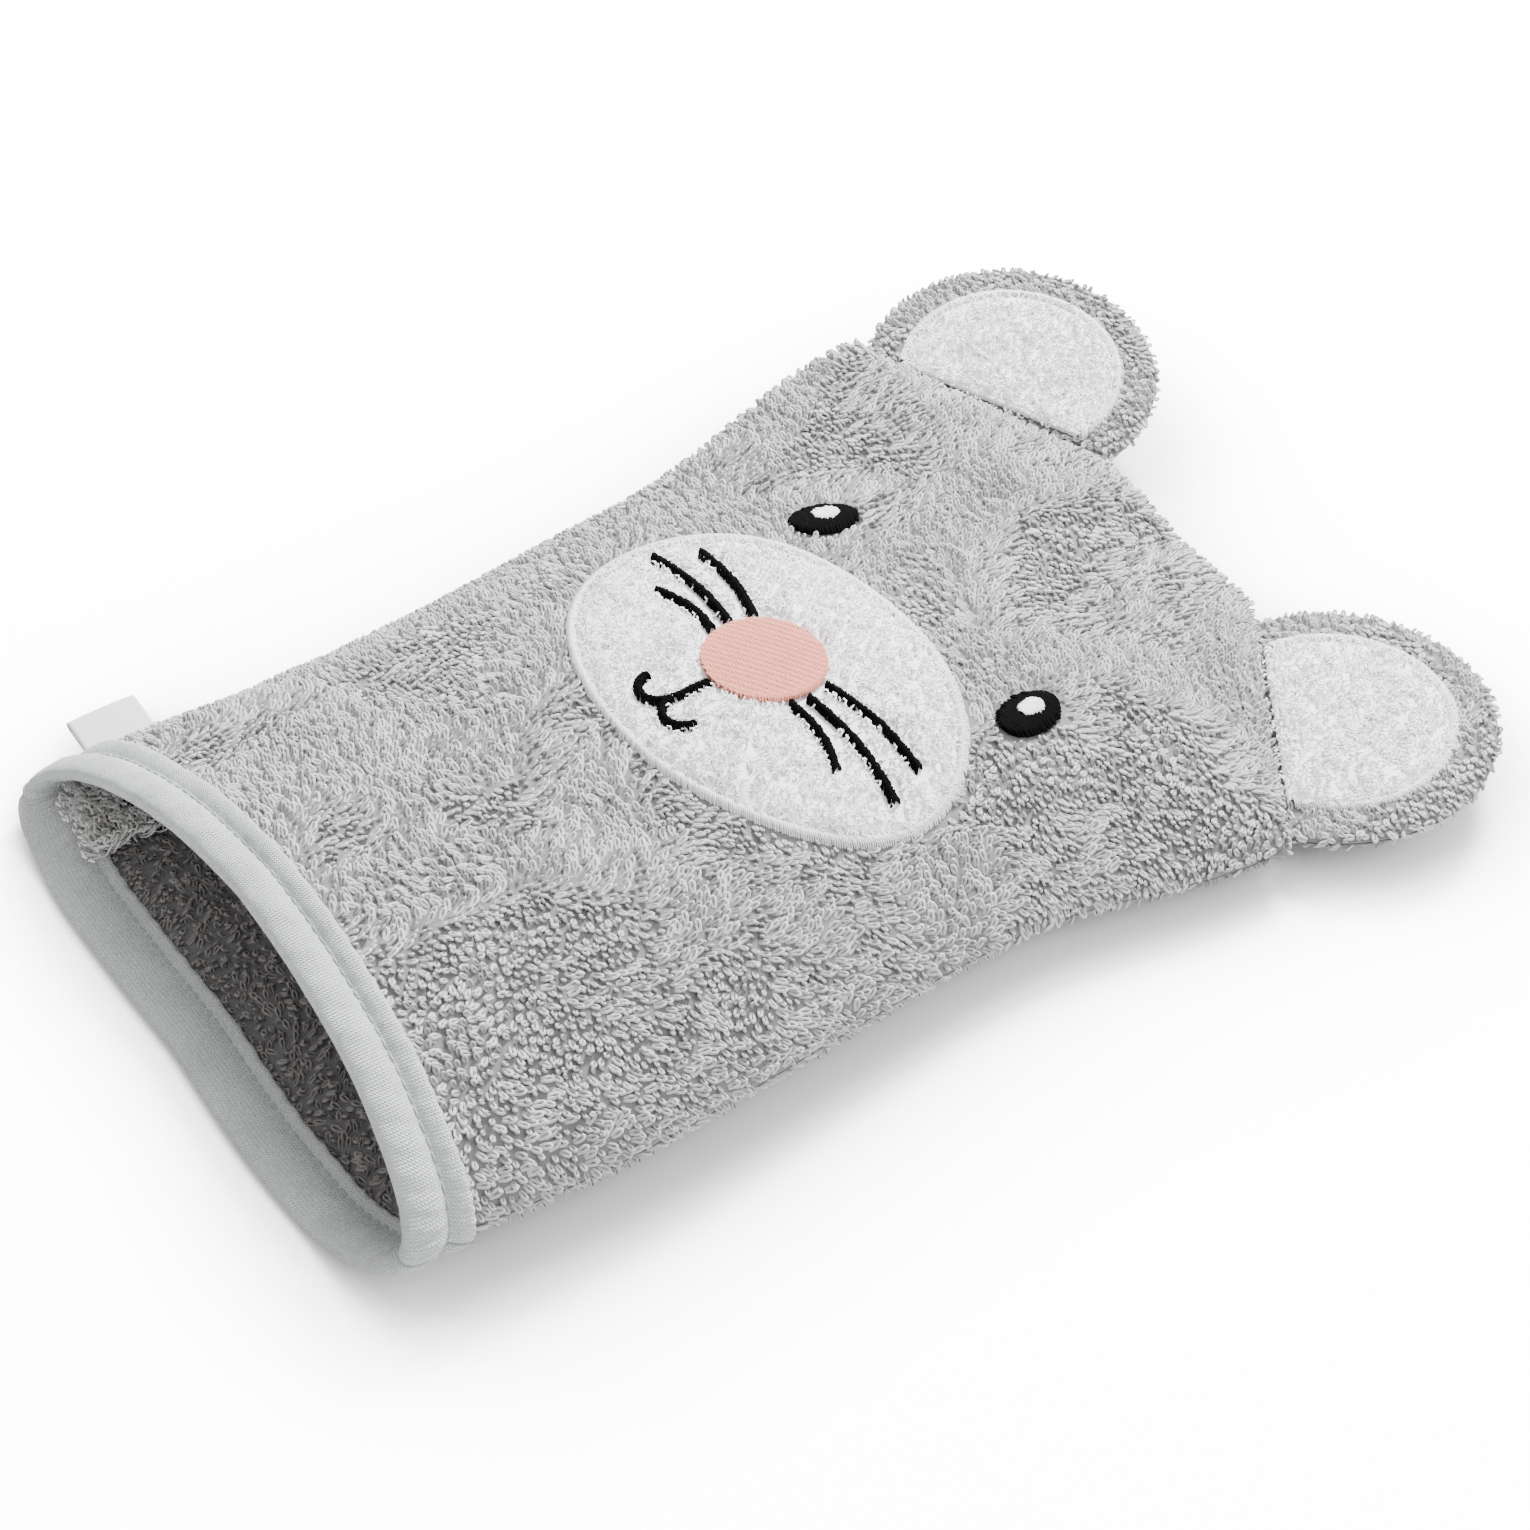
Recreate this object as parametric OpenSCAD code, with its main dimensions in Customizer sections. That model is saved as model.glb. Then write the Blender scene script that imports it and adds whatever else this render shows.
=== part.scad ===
/* [Mitt] */
// Length from the cuff edge to the crown seam
mitt_l = 250; // [200:5:300]
// Flat width at the cuff edge
cuff_w = 160; // [130:5:190]
// Widest width of the sleeve
body_w = 162; // [132:5:197]
// Distance that the middle of the widest sleeve lies to the right
body_sway = 2; // [-4:0.5:4]
// Width at the neck, below the head's corners
neck_w = 159; // [134:5:184]
// Distance that the middle of the neck lies to the right
neck_sway = -1.5; // [-4:0.5:4]
// Width across the head's two outer corners
head_w = 182; // [156:4:216]
// Straight part of the crown between the ears
crown_w = 58; // [46:4:74]
// Distance that the middle of the head lies to the right
head_sway = -2; // [-4:0.5:4]
// Distance from the cuff edge to the widest sleeve
body_y = 45; // [30:5:60]
// Distance from the cuff edge to the neck
neck_y = 140; // [125:5:150]
// Length of the left slanted corner edge, along the mitt
corner_left_l = 30; // [26:1:48]
// Length of the right slanted corner edge, along the mitt
corner_right_l = 45; // [30:1:48]
// Height of the open cuff
cuff_h = 38; // [36:1:50]
// Height of the left side seam at the cuff
cuff_seam_left_z = 7.5; // [7:0.5:14]
// Height of the right side seam at the cuff
cuff_seam_right_z = 16; // [10:1:22]
// Height of the crown seam above the table
crown_seam_z = 9; // [8:1:12]
// Distance that the upper lip of the cuff sits back
lip_back = 9; // [0:1:12]
// Distance that the lower lip of the cuff sits forward
lip_forward = 11; // [0:1:14]
// Distance that the left end of the cuff sits forward
cuff_skew = 9; // [0:1:12]
// Height that the head's left corner curls off the table
curl_h = 17; // [0:1:22]

/* [Fabric] */
// Thickness of the looped terry, loops included
terry_t = 4; // [3:0.5:5]
// Width of the seam allowance left inside
seam_w = 7; // [5:1:10]
// Thickness of the stitched seam layer
seam_t = 1.4; // [1:0.2:2]
// Thickness of the plush patches
plush_t = 2.2; // [1.5:0.1:3]
// Height of the embroidery over its ground
thread_t = 1.1; // [0.6:0.1:1.6]
// Gap between layers that lie on each other
layer_gap = 0.3; // [0.2:0.05:0.4]

/* [Cuff binding] */
// Width of the binding on the outside, flange included
bind_out_w = 13; // [11:1:18]
// Width of the binding on the inside
bind_in_w = 11; // [9:1:15]
// Thickness of the folded binding cloth
bind_t = 1.1; // [0.8:0.1:1.3]
// Distance from the cuff edge to the topstitching
stitch_y = 8.5; // [6:0.5:9.5]
// Width of the topstitching thread
stitch_w = 0.8; // [0.5:0.1:1.2]

/* [Neck fold] */
// Distance from the cuff edge to the middle of the fold
fold_y = 70; // [62:1:74]
// Length of cloth that folds when the head nods
fold_l = 24; // [20:1:26]

/* [Ears] */
// Radius of the round ear
ear_r = 37.5; // [30:0.5:42]
// Distance of the ear's centre outside its base seam
ear_off = 12; // [6:1:16]
// Width of the terry rim round the inner ear
ear_rim = 12; // [8:0.5:15]
// Thickness of each of the ear's two layers
ear_layer_t = 3.5; // [2.5:0.5:4]
// Clearance between the ear's rolled base and the head
ear_gap = 0.5; // [0.4:0.1:1]
// Lift of the left ear off the table at rest, in degrees
ear_left_lift = 9; // [0:1:40]
// Lift of the right ear off the table at rest, in degrees
ear_right_lift = 6; // [0:1:40]
// Degrees by which the left ear lies more level than its corner edge
ear_left_level = 4; // [0:1:8]
// Distance that the left ear sits along its edge towards the crown
ear_left_slide = 4; // [0:1:6]

/* [Face] */
// Distance from the cuff edge to the middle of the muzzle and nose
face_y = 131; // [126:1:136]
// Width of the plush muzzle
muzzle_w = 102; // [80:2:110]
// Length of the plush muzzle
muzzle_l = 70; // [50:1:74]
// Width of the satin border round the patches
border_w = 2.2; // [1.5:0.1:3]
// Width of the nose
nose_w = 28; // [20:1:34]
// Length of the nose
nose_l = 26.5; // [16:0.5:30]
// Distance between the eyes' centres
eye_gap = 76; // [60:2:86]
// Distance from the cuff edge to the eyes
eye_y = 173; // [170:1:178]
// Long diameter of an eye
eye_l = 16.5; // [10:0.5:20]
// Short diameter of an eye
eye_w = 11; // [7:0.5:14]
// Lean of the eyes towards each other, in degrees
eye_lean = 12; // [0:2:30]
// Width of a whisker
whisker_w = 2.2; // [1.4:0.1:3]
// Width of the mouth line
mouth_w = 2; // [1.2:0.1:2.6]
// Length of the mouth's stem below the nose
mouth_stem = 9; // [6:1:12]
// Radius of the mouth's two curled arms
mouth_r = 4.6; // [3:0.2:6]

/* [Tag] */
// Width of the side tag along the seam
tag_w = 17; // [10:1:20]
// Length that stands out of the seam
tag_l = 13; // [8:1:18]
// Thickness of the folded tape
tag_t = 1.2; // [0.8:0.1:1.6]
// Gap between the binding and the tag
tag_gap = 1; // [0.5:0.5:4]

/* [Hidden] */

// Steps round half a cross-section, and the spacing of the sections
arc_n = 24;
step_y = 8;
// Shape of a cross-section: side_n squares its crest, rim_n rounds its edges
side_n = 2.3;
rim_n = 1.45;
// Share by which the underside would reach below the table: it is laid flat
press = 1.35;
// Fall of the crest from the cuff to the crown
crest_p = 2.8;
crest_q = 0.9;
// The cavity closes over this length before the crown, never quite shut
close_l = 20;
shut = 0.0001;
// Room over the flat crown, and the slope at which the underside drops from it
crown_room = 0.4;
drop_slope = 0.6;
// Clearance of a seam allowance from the panels over and under it
seam_slack = 0.1;
// Step between two flat facets that change depth
ramp = 0.3;
// Height of a border as a share of the plush
border_share = 0.8;
// Slack between bodies that meet face to face at the fold
fold_gap = 0.1;
fn_round = 64;

// The head's corners; side is 1 for the right one and -1 for the left one
edge_run = (head_w - crown_w) / 2;
function corner_l(side) = side > 0 ? corner_right_l : corner_left_l;
function ear_y(side) = mitt_l - corner_l(side);
function edge_len(side) = norm([edge_run, corner_l(side)]);
function edge_turn(side) = atan2(corner_l(side), edge_run);
// A place on a slanted edge, from the crown (u 0) to the outer corner (u 1)
function edge_at(side, u) =
    [side * (crown_w / 2 + edge_run * u) + head_sway, mitt_l - corner_l(side) * u];
// The lips' shift dies out, and the curl begins, at these distances
lip_reach = 96;
lip_fade = 1.3;
skew_n = 1.2;
curl_y = 50;
// The curl is steep at the eyes and spreads towards the middle at the crown
curl_n = 2;
curl_crown_n = 0.8;
curl_spread_y = 190;
bind_skin = 0.5;
bind_lip = 1;
bind_slack = 0.05;
fold_y0 = fold_y - fold_l / 2;
fold_y1 = fold_y + fold_l / 2;

grey = [0.70, 0.70, 0.70];
pale = [0.84, 0.85, 0.86];
white = [0.92, 0.93, 0.94];
pink = [0.91, 0.67, 0.62];
black = [0.07, 0.07, 0.07];

// ---- shape of the mitt ----

function ease(a, b, u) = a + (b - a) * (1 - cos(180 * u)) / 2;

// Half width of the flat outline at a distance y from the cuff edge
function half_w(y, side) =
    let (body = body_w / 2 + side * body_sway, neck = neck_w / 2 + side * neck_sway,
         head = head_w / 2 + side * head_sway)
    y < body_y ? ease(cuff_w / 2, body, y / body_y)
    : y < neck_y ? ease(body, neck, (y - body_y) / (neck_y - body_y))
    : y < ear_y(side) ? ease(neck, head, (y - neck_y) / (ear_y(side) - neck_y))
    : head - edge_run * (y - ear_y(side)) / corner_l(side);

// Height of the seam plane, which leans from one side seam to the other
function seam_side(z, y) = ease(z, crown_seam_z, y / mitt_l);
function seam_z(x, y) =
    let (u = min(1, max(0, x / cuff_w + 0.5)))
    seam_side(cuff_seam_left_z, y) * (1 - u) + seam_side(cuff_seam_right_z, y) * u;

// Height of the crest above the seam plane
crown_rise = terry_t + seam_t / 2 + crown_room;
cuff_rise = cuff_h - (cuff_seam_left_z + cuff_seam_right_z) / 2;
function rise(y) = crown_rise
    + (cuff_rise - crown_rise) * pow(1 - pow(y / mitt_l, crest_p), crest_q);

// Depth of the underside below the seam: past the table, except by the crown
function drop(x, y) = min(seam_z(x, y) * press, crown_rise + (mitt_l - y) * drop_slope);

// How far the cavity is still open near the crown
function cavity(y) = sqrt(min(1, max(shut, (mitt_l - seam_w - y) / close_l)));

// Lift of the head's left side, which curls towards its corner
function part_way(y, a, b) = min(1, max(0, (y - a) / (b - a)));
function curl(x, y) =
    let (n = ease(curl_n, curl_crown_n, part_way(y, curl_spread_y, mitt_l)))
    curl_h * pow(max(0, -x / (head_w / 2 - head_sway)), n) * ease(0, 1, part_way(y, curl_y, ear_y(-1)));

// How much of the lips' shift is left at a distance y, and the cuff's skew
function lip_share(y) = pow(max(0, 1 - y / lip_reach), lip_fade);
function skew(x, y) = -cuff_skew * pow(max(0, -2 * x / cuff_w), skew_n) * lip_share(y);

// A point of the mitt's skin, d outside it (inside is negative); turn runs
// round the section from the right seam over the crest to the left seam, and
// layer is 1 for the front panel and -1 for the back panel
function skin(y, turn, d, layer) =
    let (c = cos(turn),
         side = c < 0 ? -1 : 1,
         slant = y > ear_y(side) ? edge_len(side) / corner_l(side) : 1,
         x = (half_w(y, side) + d * slant) * side * pow(abs(c), 2 / side_n),
         s = pow(abs(sin(turn)), 2 / rim_n),
         open = d < -bind_skin ? cavity(y) : 1,
         depth = ((layer > 0 ? rise(y) : drop(x, y)) - seam_t / 2 + d) * open * s,
         level = seam_z(x, y) + layer * (seam_t / 2 + depth),
         z = layer > 0 ? level : min(seam_z(x, y) - seam_t / 2, max(0, -d, level)),
         shift = lip_share(y) * abs(sin(turn)) * (layer > 0 ? lip_back : -lip_forward))
    [x, y + shift + skew(x, y) - mitt_l / 2, z + curl(x, y)];

// Height of the upper skin over a plan point
function face_z(x, y) = seam_z(x, y) + seam_t / 2 + curl(x, y) + (rise(y) - seam_t / 2)
    * pow(max(0, 1 - pow(abs(x) / half_w(y, sign(x)), side_n)), 1 / rim_n);
function on_face(x, y, lift) = [x, y - mitt_l / 2, face_z(x, y) + lift];

// Places from a to b, no further apart than step
function steps(a, b, step) =
    let (n = max(1, ceil((b - a) / step))) [for (i = [0 : n]) a + (b - a) * i / n];

// ---- solids from rings of points ----

// A solid through rings of equally many points, capped or closed on itself
module loft(rings, looped = false) {
    n = len(rings[0]);
    m = len(rings);
    last = looped ? m - 1 : m - 2;
    sides = [for (i = [0 : last], k = [0 : n - 1], half = [0, 1])
        let (a = i * n + k, b = i * n + (k + 1) % n,
             c = ((i + 1) % m) * n + k, d = ((i + 1) % m) * n + (k + 1) % n)
        half == 0 ? [a, b, d] : [a, d, c]];
    strip = [for (k = [0 : n / 2 - 2], half = [0, 1])
        half == 0 ? [k, k + 1, n - 2 - k] : [k, n - 2 - k, n - 1 - k]];
    end = (m - 1) * n;
    caps = looped ? [] : concat(
        [for (f = strip) [f[2], f[1], f[0]]],
        [for (f = strip) [f[0] + end, f[1] + end, f[2] + end]]);
    polyhedron(points = [for (r = rings) each r], faces = concat(sides, caps), convexity = 10);
}

// One panel's section: out over the outer skin, back under the inner one
function panel_ring(y, d_out, d_in, side) =
    let (out = [for (i = [0 : arc_n]) skin(y, 180 * i / arc_n, d_out, side)],
         inn = [for (i = [arc_n : -1 : 0]) skin(y, 180 * i / arc_n, d_in, side)],
         ring = concat(out, inn))
    side > 0 ? ring : [for (i = [len(ring) - 1 : -1 : 0]) ring[i]];

module panel(stations, side)
    loft([for (s = stations) panel_ring(s[0], s[1], s[2], side)]);

// Layers under the binding, from outside in
under_out = -bind_skin - bind_t - bind_slack;
under_in = -terry_t + bind_t + bind_slack;

bound_y = steps(bind_t, bind_in_w, 4);

module sleeve_panel(side) {
    bound = [for (y = bound_y) [y + bind_slack, under_out, under_in]];
    flange = [for (y = [bind_in_w + ramp, bind_out_w + bind_slack]) [y, under_out, -terry_t]];
    free = [for (y = steps(bind_out_w + ramp, fold_y0, step_y)) [y, 0, -terry_t]];
    panel(concat(bound, flange, free), side);
}

module fold_panel(side)
    panel([for (y = steps(fold_y0, fold_y1 - fold_gap, step_y / 2)) [y, 0, -terry_t]], side);

module head_panel(side) {
    near_y = min(ear_y(1), ear_y(-1));
    far_y = max(ear_y(1), ear_y(-1));
    panel([for (y = concat(steps(fold_y1, near_y, step_y), steps(near_y + 1, far_y, step_y / 2),
        steps(far_y + 1, mitt_l, step_y / 2))) [y, 0, -terry_t]], side);
}

module front_panel_sleeve() color(grey) sleeve_panel(1);
module front_panel_fold() color(grey) fold_panel(1);
module front_panel_head() color(grey) head_panel(1);
module back_panel_sleeve() color(grey) sleeve_panel(-1);
module back_panel_fold() color(grey) fold_panel(-1);
module back_panel_head() color(grey) head_panel(-1);

// ---- seams ----

seam_half = seam_t / 2 - seam_slack;

function at_seam(p, level) =
    [p[0], p[1] + skew(p[0], p[1]) - mitt_l / 2, seam_z(p[0], p[1]) + curl(p[0], p[1]) + level];
function seam_ring(outer, inner) = [
    at_seam(outer, -seam_half), at_seam(outer, seam_half),
    at_seam(inner, seam_half), at_seam(inner, -seam_half)];

module side_seam(y0, y1, side) {
    rings = [for (y = steps(y0, y1, step_y / 2))
        let (outer = [side * half_w(y, side), y], inner = outer - [side * seam_w, 0])
        side > 0 ? seam_ring(outer, inner) : seam_ring(inner, outer)];
    color(grey) loft(rings);
}

module side_seam_left_sleeve() side_seam(bind_out_w + 1, fold_y0, -1);
module side_seam_right_sleeve() side_seam(bind_out_w + 1, fold_y0, 1);
module side_seam_left_head() side_seam(fold_y1, ear_y(-1) - seam_w, -1);
module side_seam_right_head() side_seam(fold_y1, ear_y(1) - seam_w, 1);

// The seam across the crown and down both slanted corners
module crown_seam() {
    function inward(side) = [-side * sin(edge_turn(side)), -cos(edge_turn(side))] * seam_w;
    function slanted(side, u) = [edge_at(side, u), edge_at(side, u) + (u == 0 ? [0, -seam_w] : inward(side))];
    right = [for (u = steps(0, 1, 1 / 16)) slanted(1, 1 - u)];
    left = [for (u = steps(0, 1, 1 / 16)) slanted(-1, u)];
    straight = [for (x = steps(-crown_w / 2 + 3, crown_w / 2 - 3, 4)) [[head_sway - x, mitt_l], [head_sway - x, mitt_l - seam_w]]];
    color(grey)
        loft([for (s = concat(right, straight, left)) seam_ring(s[0], s[1])]);
}

// ---- cuff ----

// A band laid round the whole cuff: profile is a list of [distance, depth]
module cuff_band(profile) {
    n = 2 * arc_n;
    rings = [for (i = [0 : n - 1])
        let (turn = 360 * i / n, side = turn < 180 ? 1 : -1)
        [for (p = profile)
            let (q = skin(p[0], turn, p[1], side))
            i % arc_n == 0 ? [q[0], q[1], seam_z(q[0], p[0])] : q]];
    loft(rings, looped = true);
}

module cuff_binding()
    color(pale)
        cuff_band([
            [bind_out_w, -bind_skin], [stitch_y + stitch_w, -bind_skin], [stitch_y, -bind_skin],
            [bind_lip, -bind_skin], [0, -bind_skin - bind_lip], [0, -terry_t + bind_lip],
            [bind_lip, -terry_t], [bind_in_w, -terry_t],
            for (i = [len(bound_y) - 1 : -1 : 0]) [bound_y[i], -terry_t + bind_t],
            for (y = bound_y) [y, -bind_skin - bind_t],
            [bind_out_w, -bind_skin - bind_t]]);

module cuff_topstitch()
    color(white)
        cuff_band([
            [stitch_y, -bind_skin + bind_slack], [stitch_y, 0],
            [stitch_y + stitch_w, 0], [stitch_y + stitch_w, -bind_skin + bind_slack]]);

// The folded tape, with a rolled root that it hinges on
module side_tag() {
    y0 = bind_out_w + tag_gap;
    root_x = -max(half_w(y0, -1), half_w(y0 + tag_w, -1)) - layer_gap - tag_t / 2;
    color(white)
        translate([root_x, y0 + skew(root_x, y0) - mitt_l / 2, seam_z(root_x, y0)]) {
            for (x = [0, tag_t - tag_l])
                translate([x, 0, 0])
                    rotate([-90, 0, 0])
                        cylinder(d = tag_t, h = tag_w, $fn = fn_round);
            translate([tag_t - tag_l, 0, -tag_t / 2])
                cube([tag_l - tag_t, tag_w, tag_t]);
        }
}

// ---- face ----

// A thin pad on the face: an ellipse [length, width] turned by lean
module pad(centre, size, lean, lift, thick, ring_n = 3, seg_n = 32) {
    function spot(k, j) =
        let (r = k / ring_n / 2, u = size[0] * r * cos(360 * j / seg_n),
             v = size[1] * r * sin(360 * j / seg_n))
        [centre[0] + u * cos(lean) - v * sin(lean), centre[1] + u * sin(lean) + v * cos(lean)];
    spots = concat([centre], [for (k = [1 : ring_n], j = [0 : seg_n - 1]) spot(k, j)]);
    n = len(spots);
    function id(k, j) = 1 + (k - 1) * seg_n + j % seg_n;
    base = [for (s = spots) on_face(s[0], s[1], lift)];
    top = [for (s = spots) on_face(s[0], s[1], lift + thick)];
    fan = [for (j = [0 : seg_n - 1]) [0, id(1, j + 1), id(1, j)]];
    strips = ring_n < 2 ? [] : [for (k = [1 : ring_n - 1], j = [0 : seg_n - 1], half = [0, 1])
        half == 0 ? [id(k, j), id(k, j + 1), id(k + 1, j + 1)]
                  : [id(k, j), id(k + 1, j + 1), id(k + 1, j)]];
    rim = [for (j = [0 : seg_n - 1], half = [0, 1])
        let (a = id(ring_n, j), b = id(ring_n, j + 1))
        half == 0 ? [a, b, b + n] : [a, b + n, a + n]];
    upper = concat(fan, strips);
    polyhedron(
        points = concat(base, top),
        faces = concat([for (f = upper) [f[2], f[1], f[0]]], [for (f = upper) [f[0] + n, f[1] + n, f[2] + n]],
            [for (f = rim) [f[2], f[1], f[0]]]),
        convexity = 6);
}

// A raised border round an ellipse of the given size
module border(centre, size, width, lift, thick, seg_n = 48) {
    loft([for (j = [0 : seg_n - 1])
        let (c = cos(360 * j / seg_n), s = sin(360 * j / seg_n),
             p = [centre[0] + size[0] / 2 * c, centre[1] + size[1] / 2 * s],
             q = [centre[0] + (size[0] / 2 + width) * c, centre[1] + (size[1] / 2 + width) * s])
        [on_face(p[0], p[1], lift), on_face(p[0], p[1], lift + thick),
         on_face(q[0], q[1], lift + thick), on_face(q[0], q[1], lift)]], looped = true);
}

// A raised line along a path on the face, tapering by the given shares
module stroke(path, width, shares, lift, thick) {
    last = len(path) - 1;
    loft([for (i = [0 : last])
        let (a = path[max(0, i - 1)], b = path[min(last, i + 1)],
             side = [a[1] - b[1], b[0] - a[0]] / norm(b - a) * width / 2 * shares[i],
             p = path[i] - side, q = path[i] + side)
        [on_face(p[0], p[1], lift), on_face(p[0], p[1], lift + thick),
         on_face(q[0], q[1], lift + thick), on_face(q[0], q[1], lift)]]);
}

face = [0, face_y];
plush_top = layer_gap + plush_t;

module muzzle_patch()
    color(white) pad(face, [muzzle_w, muzzle_l], 0, layer_gap, plush_t, ring_n = 5, seg_n = 48);

module muzzle_border()
    color(white) border(face, [muzzle_w + 2 * bind_slack, muzzle_l + 2 * bind_slack],
        border_w, layer_gap, plush_t * border_share);

module nose()
    color(pink) pad(face, [nose_w, nose_l], 0, plush_top + layer_gap, thread_t);

// Each whisker: [root angle on the nose, reach beyond the nose, rise of its tip]
whiskers = [[27, 28, 4], [4, 31.5, 0], [-14, 20, -2]];
whisker_bow = 1.6;
whisker_n = 8;

module whisker_side(side) {
    start = 1.08;
    color(black)
        for (w = whiskers) {
            root = face + start * [nose_w / 2 * cos(w[0]), nose_l / 2 * sin(w[0])];
            tip = root + [w[1], w[2]];
            path = [for (i = [0 : whisker_n])
                let (u = i / whisker_n, p = root + (tip - root) * u)
                [side * p[0], p[1] + whisker_bow * sin(180 * u)]];
            shares = [for (i = [0 : whisker_n]) i == whisker_n ? 0.5 : 1];
            stroke(side > 0 ? path : [for (i = [whisker_n : -1 : 0]) path[i]], whisker_w,
                side > 0 ? shares : [for (i = [whisker_n : -1 : 0]) shares[i]],
                plush_top + layer_gap, thread_t);
        }
}
module whiskers_left() whisker_side(-1);
module whiskers_right() whisker_side(1);

// A stem below the nose that ends in two arms curled upwards
module mouth() {
    top_y = face_y - nose_l / 2 - mouth_w / 2;
    foot = [0, top_y - mouth_stem];
    arc = [for (turn = [180 : 15 : 360]) foot + [mouth_r * (1 + cos(turn)), mouth_r * sin(turn)]];
    flip = [for (i = [len(arc) - 1 : -1 : 1]) [-arc[i][0], arc[i][1]]];
    color(black) {
        stroke([foot + [0, mouth_w * 0.6], [0, top_y]], mouth_w, [1, 1], plush_top + layer_gap, thread_t);
        stroke(concat(flip, arc), mouth_w, [for (p = concat(flip, arc)) 1],
            plush_top + layer_gap, thread_t);
    }
}

module eye(side)
    color(black)
        pad([side * eye_gap / 2, eye_y], [eye_w, eye_l], side * eye_lean, layer_gap, thread_t);

// The highlight's size, and how far it sits towards the crown
highlight_w = 5;
highlight_l = 6.6;
highlight_up = 1;
module eye_highlight(side) {
    color(white)
        pad([side * eye_gap / 2, eye_y + highlight_up], [highlight_w, highlight_l], side * eye_lean,
            2 * layer_gap + thread_t, thread_t / 2, ring_n = 1, seg_n = 20);
}
module eye_left() eye(-1);
module eye_right() eye(1);
module eye_highlight_left() eye_highlight(-1);
module eye_highlight_right() eye_highlight(1);

// ---- ears ----

// Distance of the ear's hinge line outside the slanted corner edge
hinge_off = ear_layer_t + ear_gap;
// Height of a corner edge's ends above the seam's own height
function edge_up(side, u) = curl(edge_at(side, u)[0], edge_at(side, u)[1]);

// Carry a piece drawn flat, base along X and height along Y, to its corner
module on_corner(side, lift, level = 0, slide = 0) {
    mid = edge_at(side, 0.5);
    up = (edge_up(side, 0) + edge_up(side, 1)) / 2;
    tilt = atan((edge_up(side, 1) - edge_up(side, 0)) / edge_len(side)) - level;
    mirror([side < 0 ? 1 : 0, 0, 0])
        translate([side * mid[0], mid[1] - mitt_l / 2, seam_z(mid[0], mid[1]) + up])
            rotate([0, -tilt, -edge_turn(side)])
                translate([-slide, hinge_off, 0])
                    rotate([lift, 0, 0])
                        children();
}

// A round piece cut off straight at the hinge line
module ear_disc(r, z0, z1)
    translate([0, 0, z0])
        intersection() {
            translate([0, ear_off - hinge_off, 0])
                cylinder(r = r, h = z1 - z0, $fn = fn_round);
            translate([-r, 0, -1])
                cube([2 * r, 2 * r, z1 - z0 + 2]);
        }

// One layer of the ear, with its half of the rolled base
module ear_layer(upper) {
    chord = 2 * sqrt(pow(ear_r, 2) - pow(ear_off - hinge_off, 2));
    color(grey)
        intersection() {
            union() {
                ear_disc(ear_r, -ear_layer_t, ear_layer_t);
                rotate([0, 90, 0])
                    cylinder(r = ear_layer_t, h = chord, center = true, $fn = fn_round);
            }
            translate([-ear_r, -ear_r, upper ? 0.01 : -ear_r - 0.01])
                cube([2 * ear_r, 3 * ear_r, ear_r]);
        }
}

plush_r = ear_r - ear_rim;
module ear_plush()
    color(white) ear_disc(plush_r, ear_layer_t + bind_slack, ear_layer_t + plush_t);

module ear_border()
    color(white)
        difference() {
            ear_disc(plush_r + border_w, ear_layer_t + bind_slack, ear_layer_t + plush_t * border_share);
            translate([0, ear_off - hinge_off, 0])
                cylinder(r = plush_r + bind_slack, h = 3 * ear_layer_t, $fn = fn_round);
        }

module ear_left_front() on_corner(-1, ear_left_lift, ear_left_level, ear_left_slide) ear_layer(true);
module ear_left_back() on_corner(-1, ear_left_lift, ear_left_level, ear_left_slide) ear_layer(false);
module ear_left_plush() on_corner(-1, ear_left_lift, ear_left_level, ear_left_slide) ear_plush();
module ear_left_border() on_corner(-1, ear_left_lift, ear_left_level, ear_left_slide) ear_border();
module ear_right_front() on_corner(1, ear_right_lift) ear_layer(true);
module ear_right_back() on_corner(1, ear_right_lift) ear_layer(false);
module ear_right_plush() on_corner(1, ear_right_lift) ear_plush();
module ear_right_border() on_corner(1, ear_right_lift) ear_border();

front_panel_sleeve();
front_panel_fold();
front_panel_head();
back_panel_sleeve();
back_panel_fold();
back_panel_head();
side_seam_left_sleeve();
side_seam_right_sleeve();
side_seam_left_head();
side_seam_right_head();
crown_seam();
cuff_binding();
cuff_topstitch();
side_tag();
muzzle_patch();
muzzle_border();
nose();
mouth();
whiskers_left();
whiskers_right();
eye_left();
eye_right();
eye_highlight_left();
eye_highlight_right();
ear_left_front();
ear_left_back();
ear_left_plush();
ear_left_border();
ear_right_front();
ear_right_back();
ear_right_plush();
ear_right_border();
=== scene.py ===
# %% [markdown]
# # A terry hand puppet with a mouse's face
# The puppet is a wash mitt: two panels of looped terry are sewn round three sides, a cotton strip binds
# the open cuff, and a plush muzzle, thread features and two round ears make the face. This lesson makes
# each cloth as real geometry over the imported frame, whose bodies carry the motion.

# %% Load the frame
import math
import bmesh
import bpy
import numpy as np
from mathutils import Matrix, Vector


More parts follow.
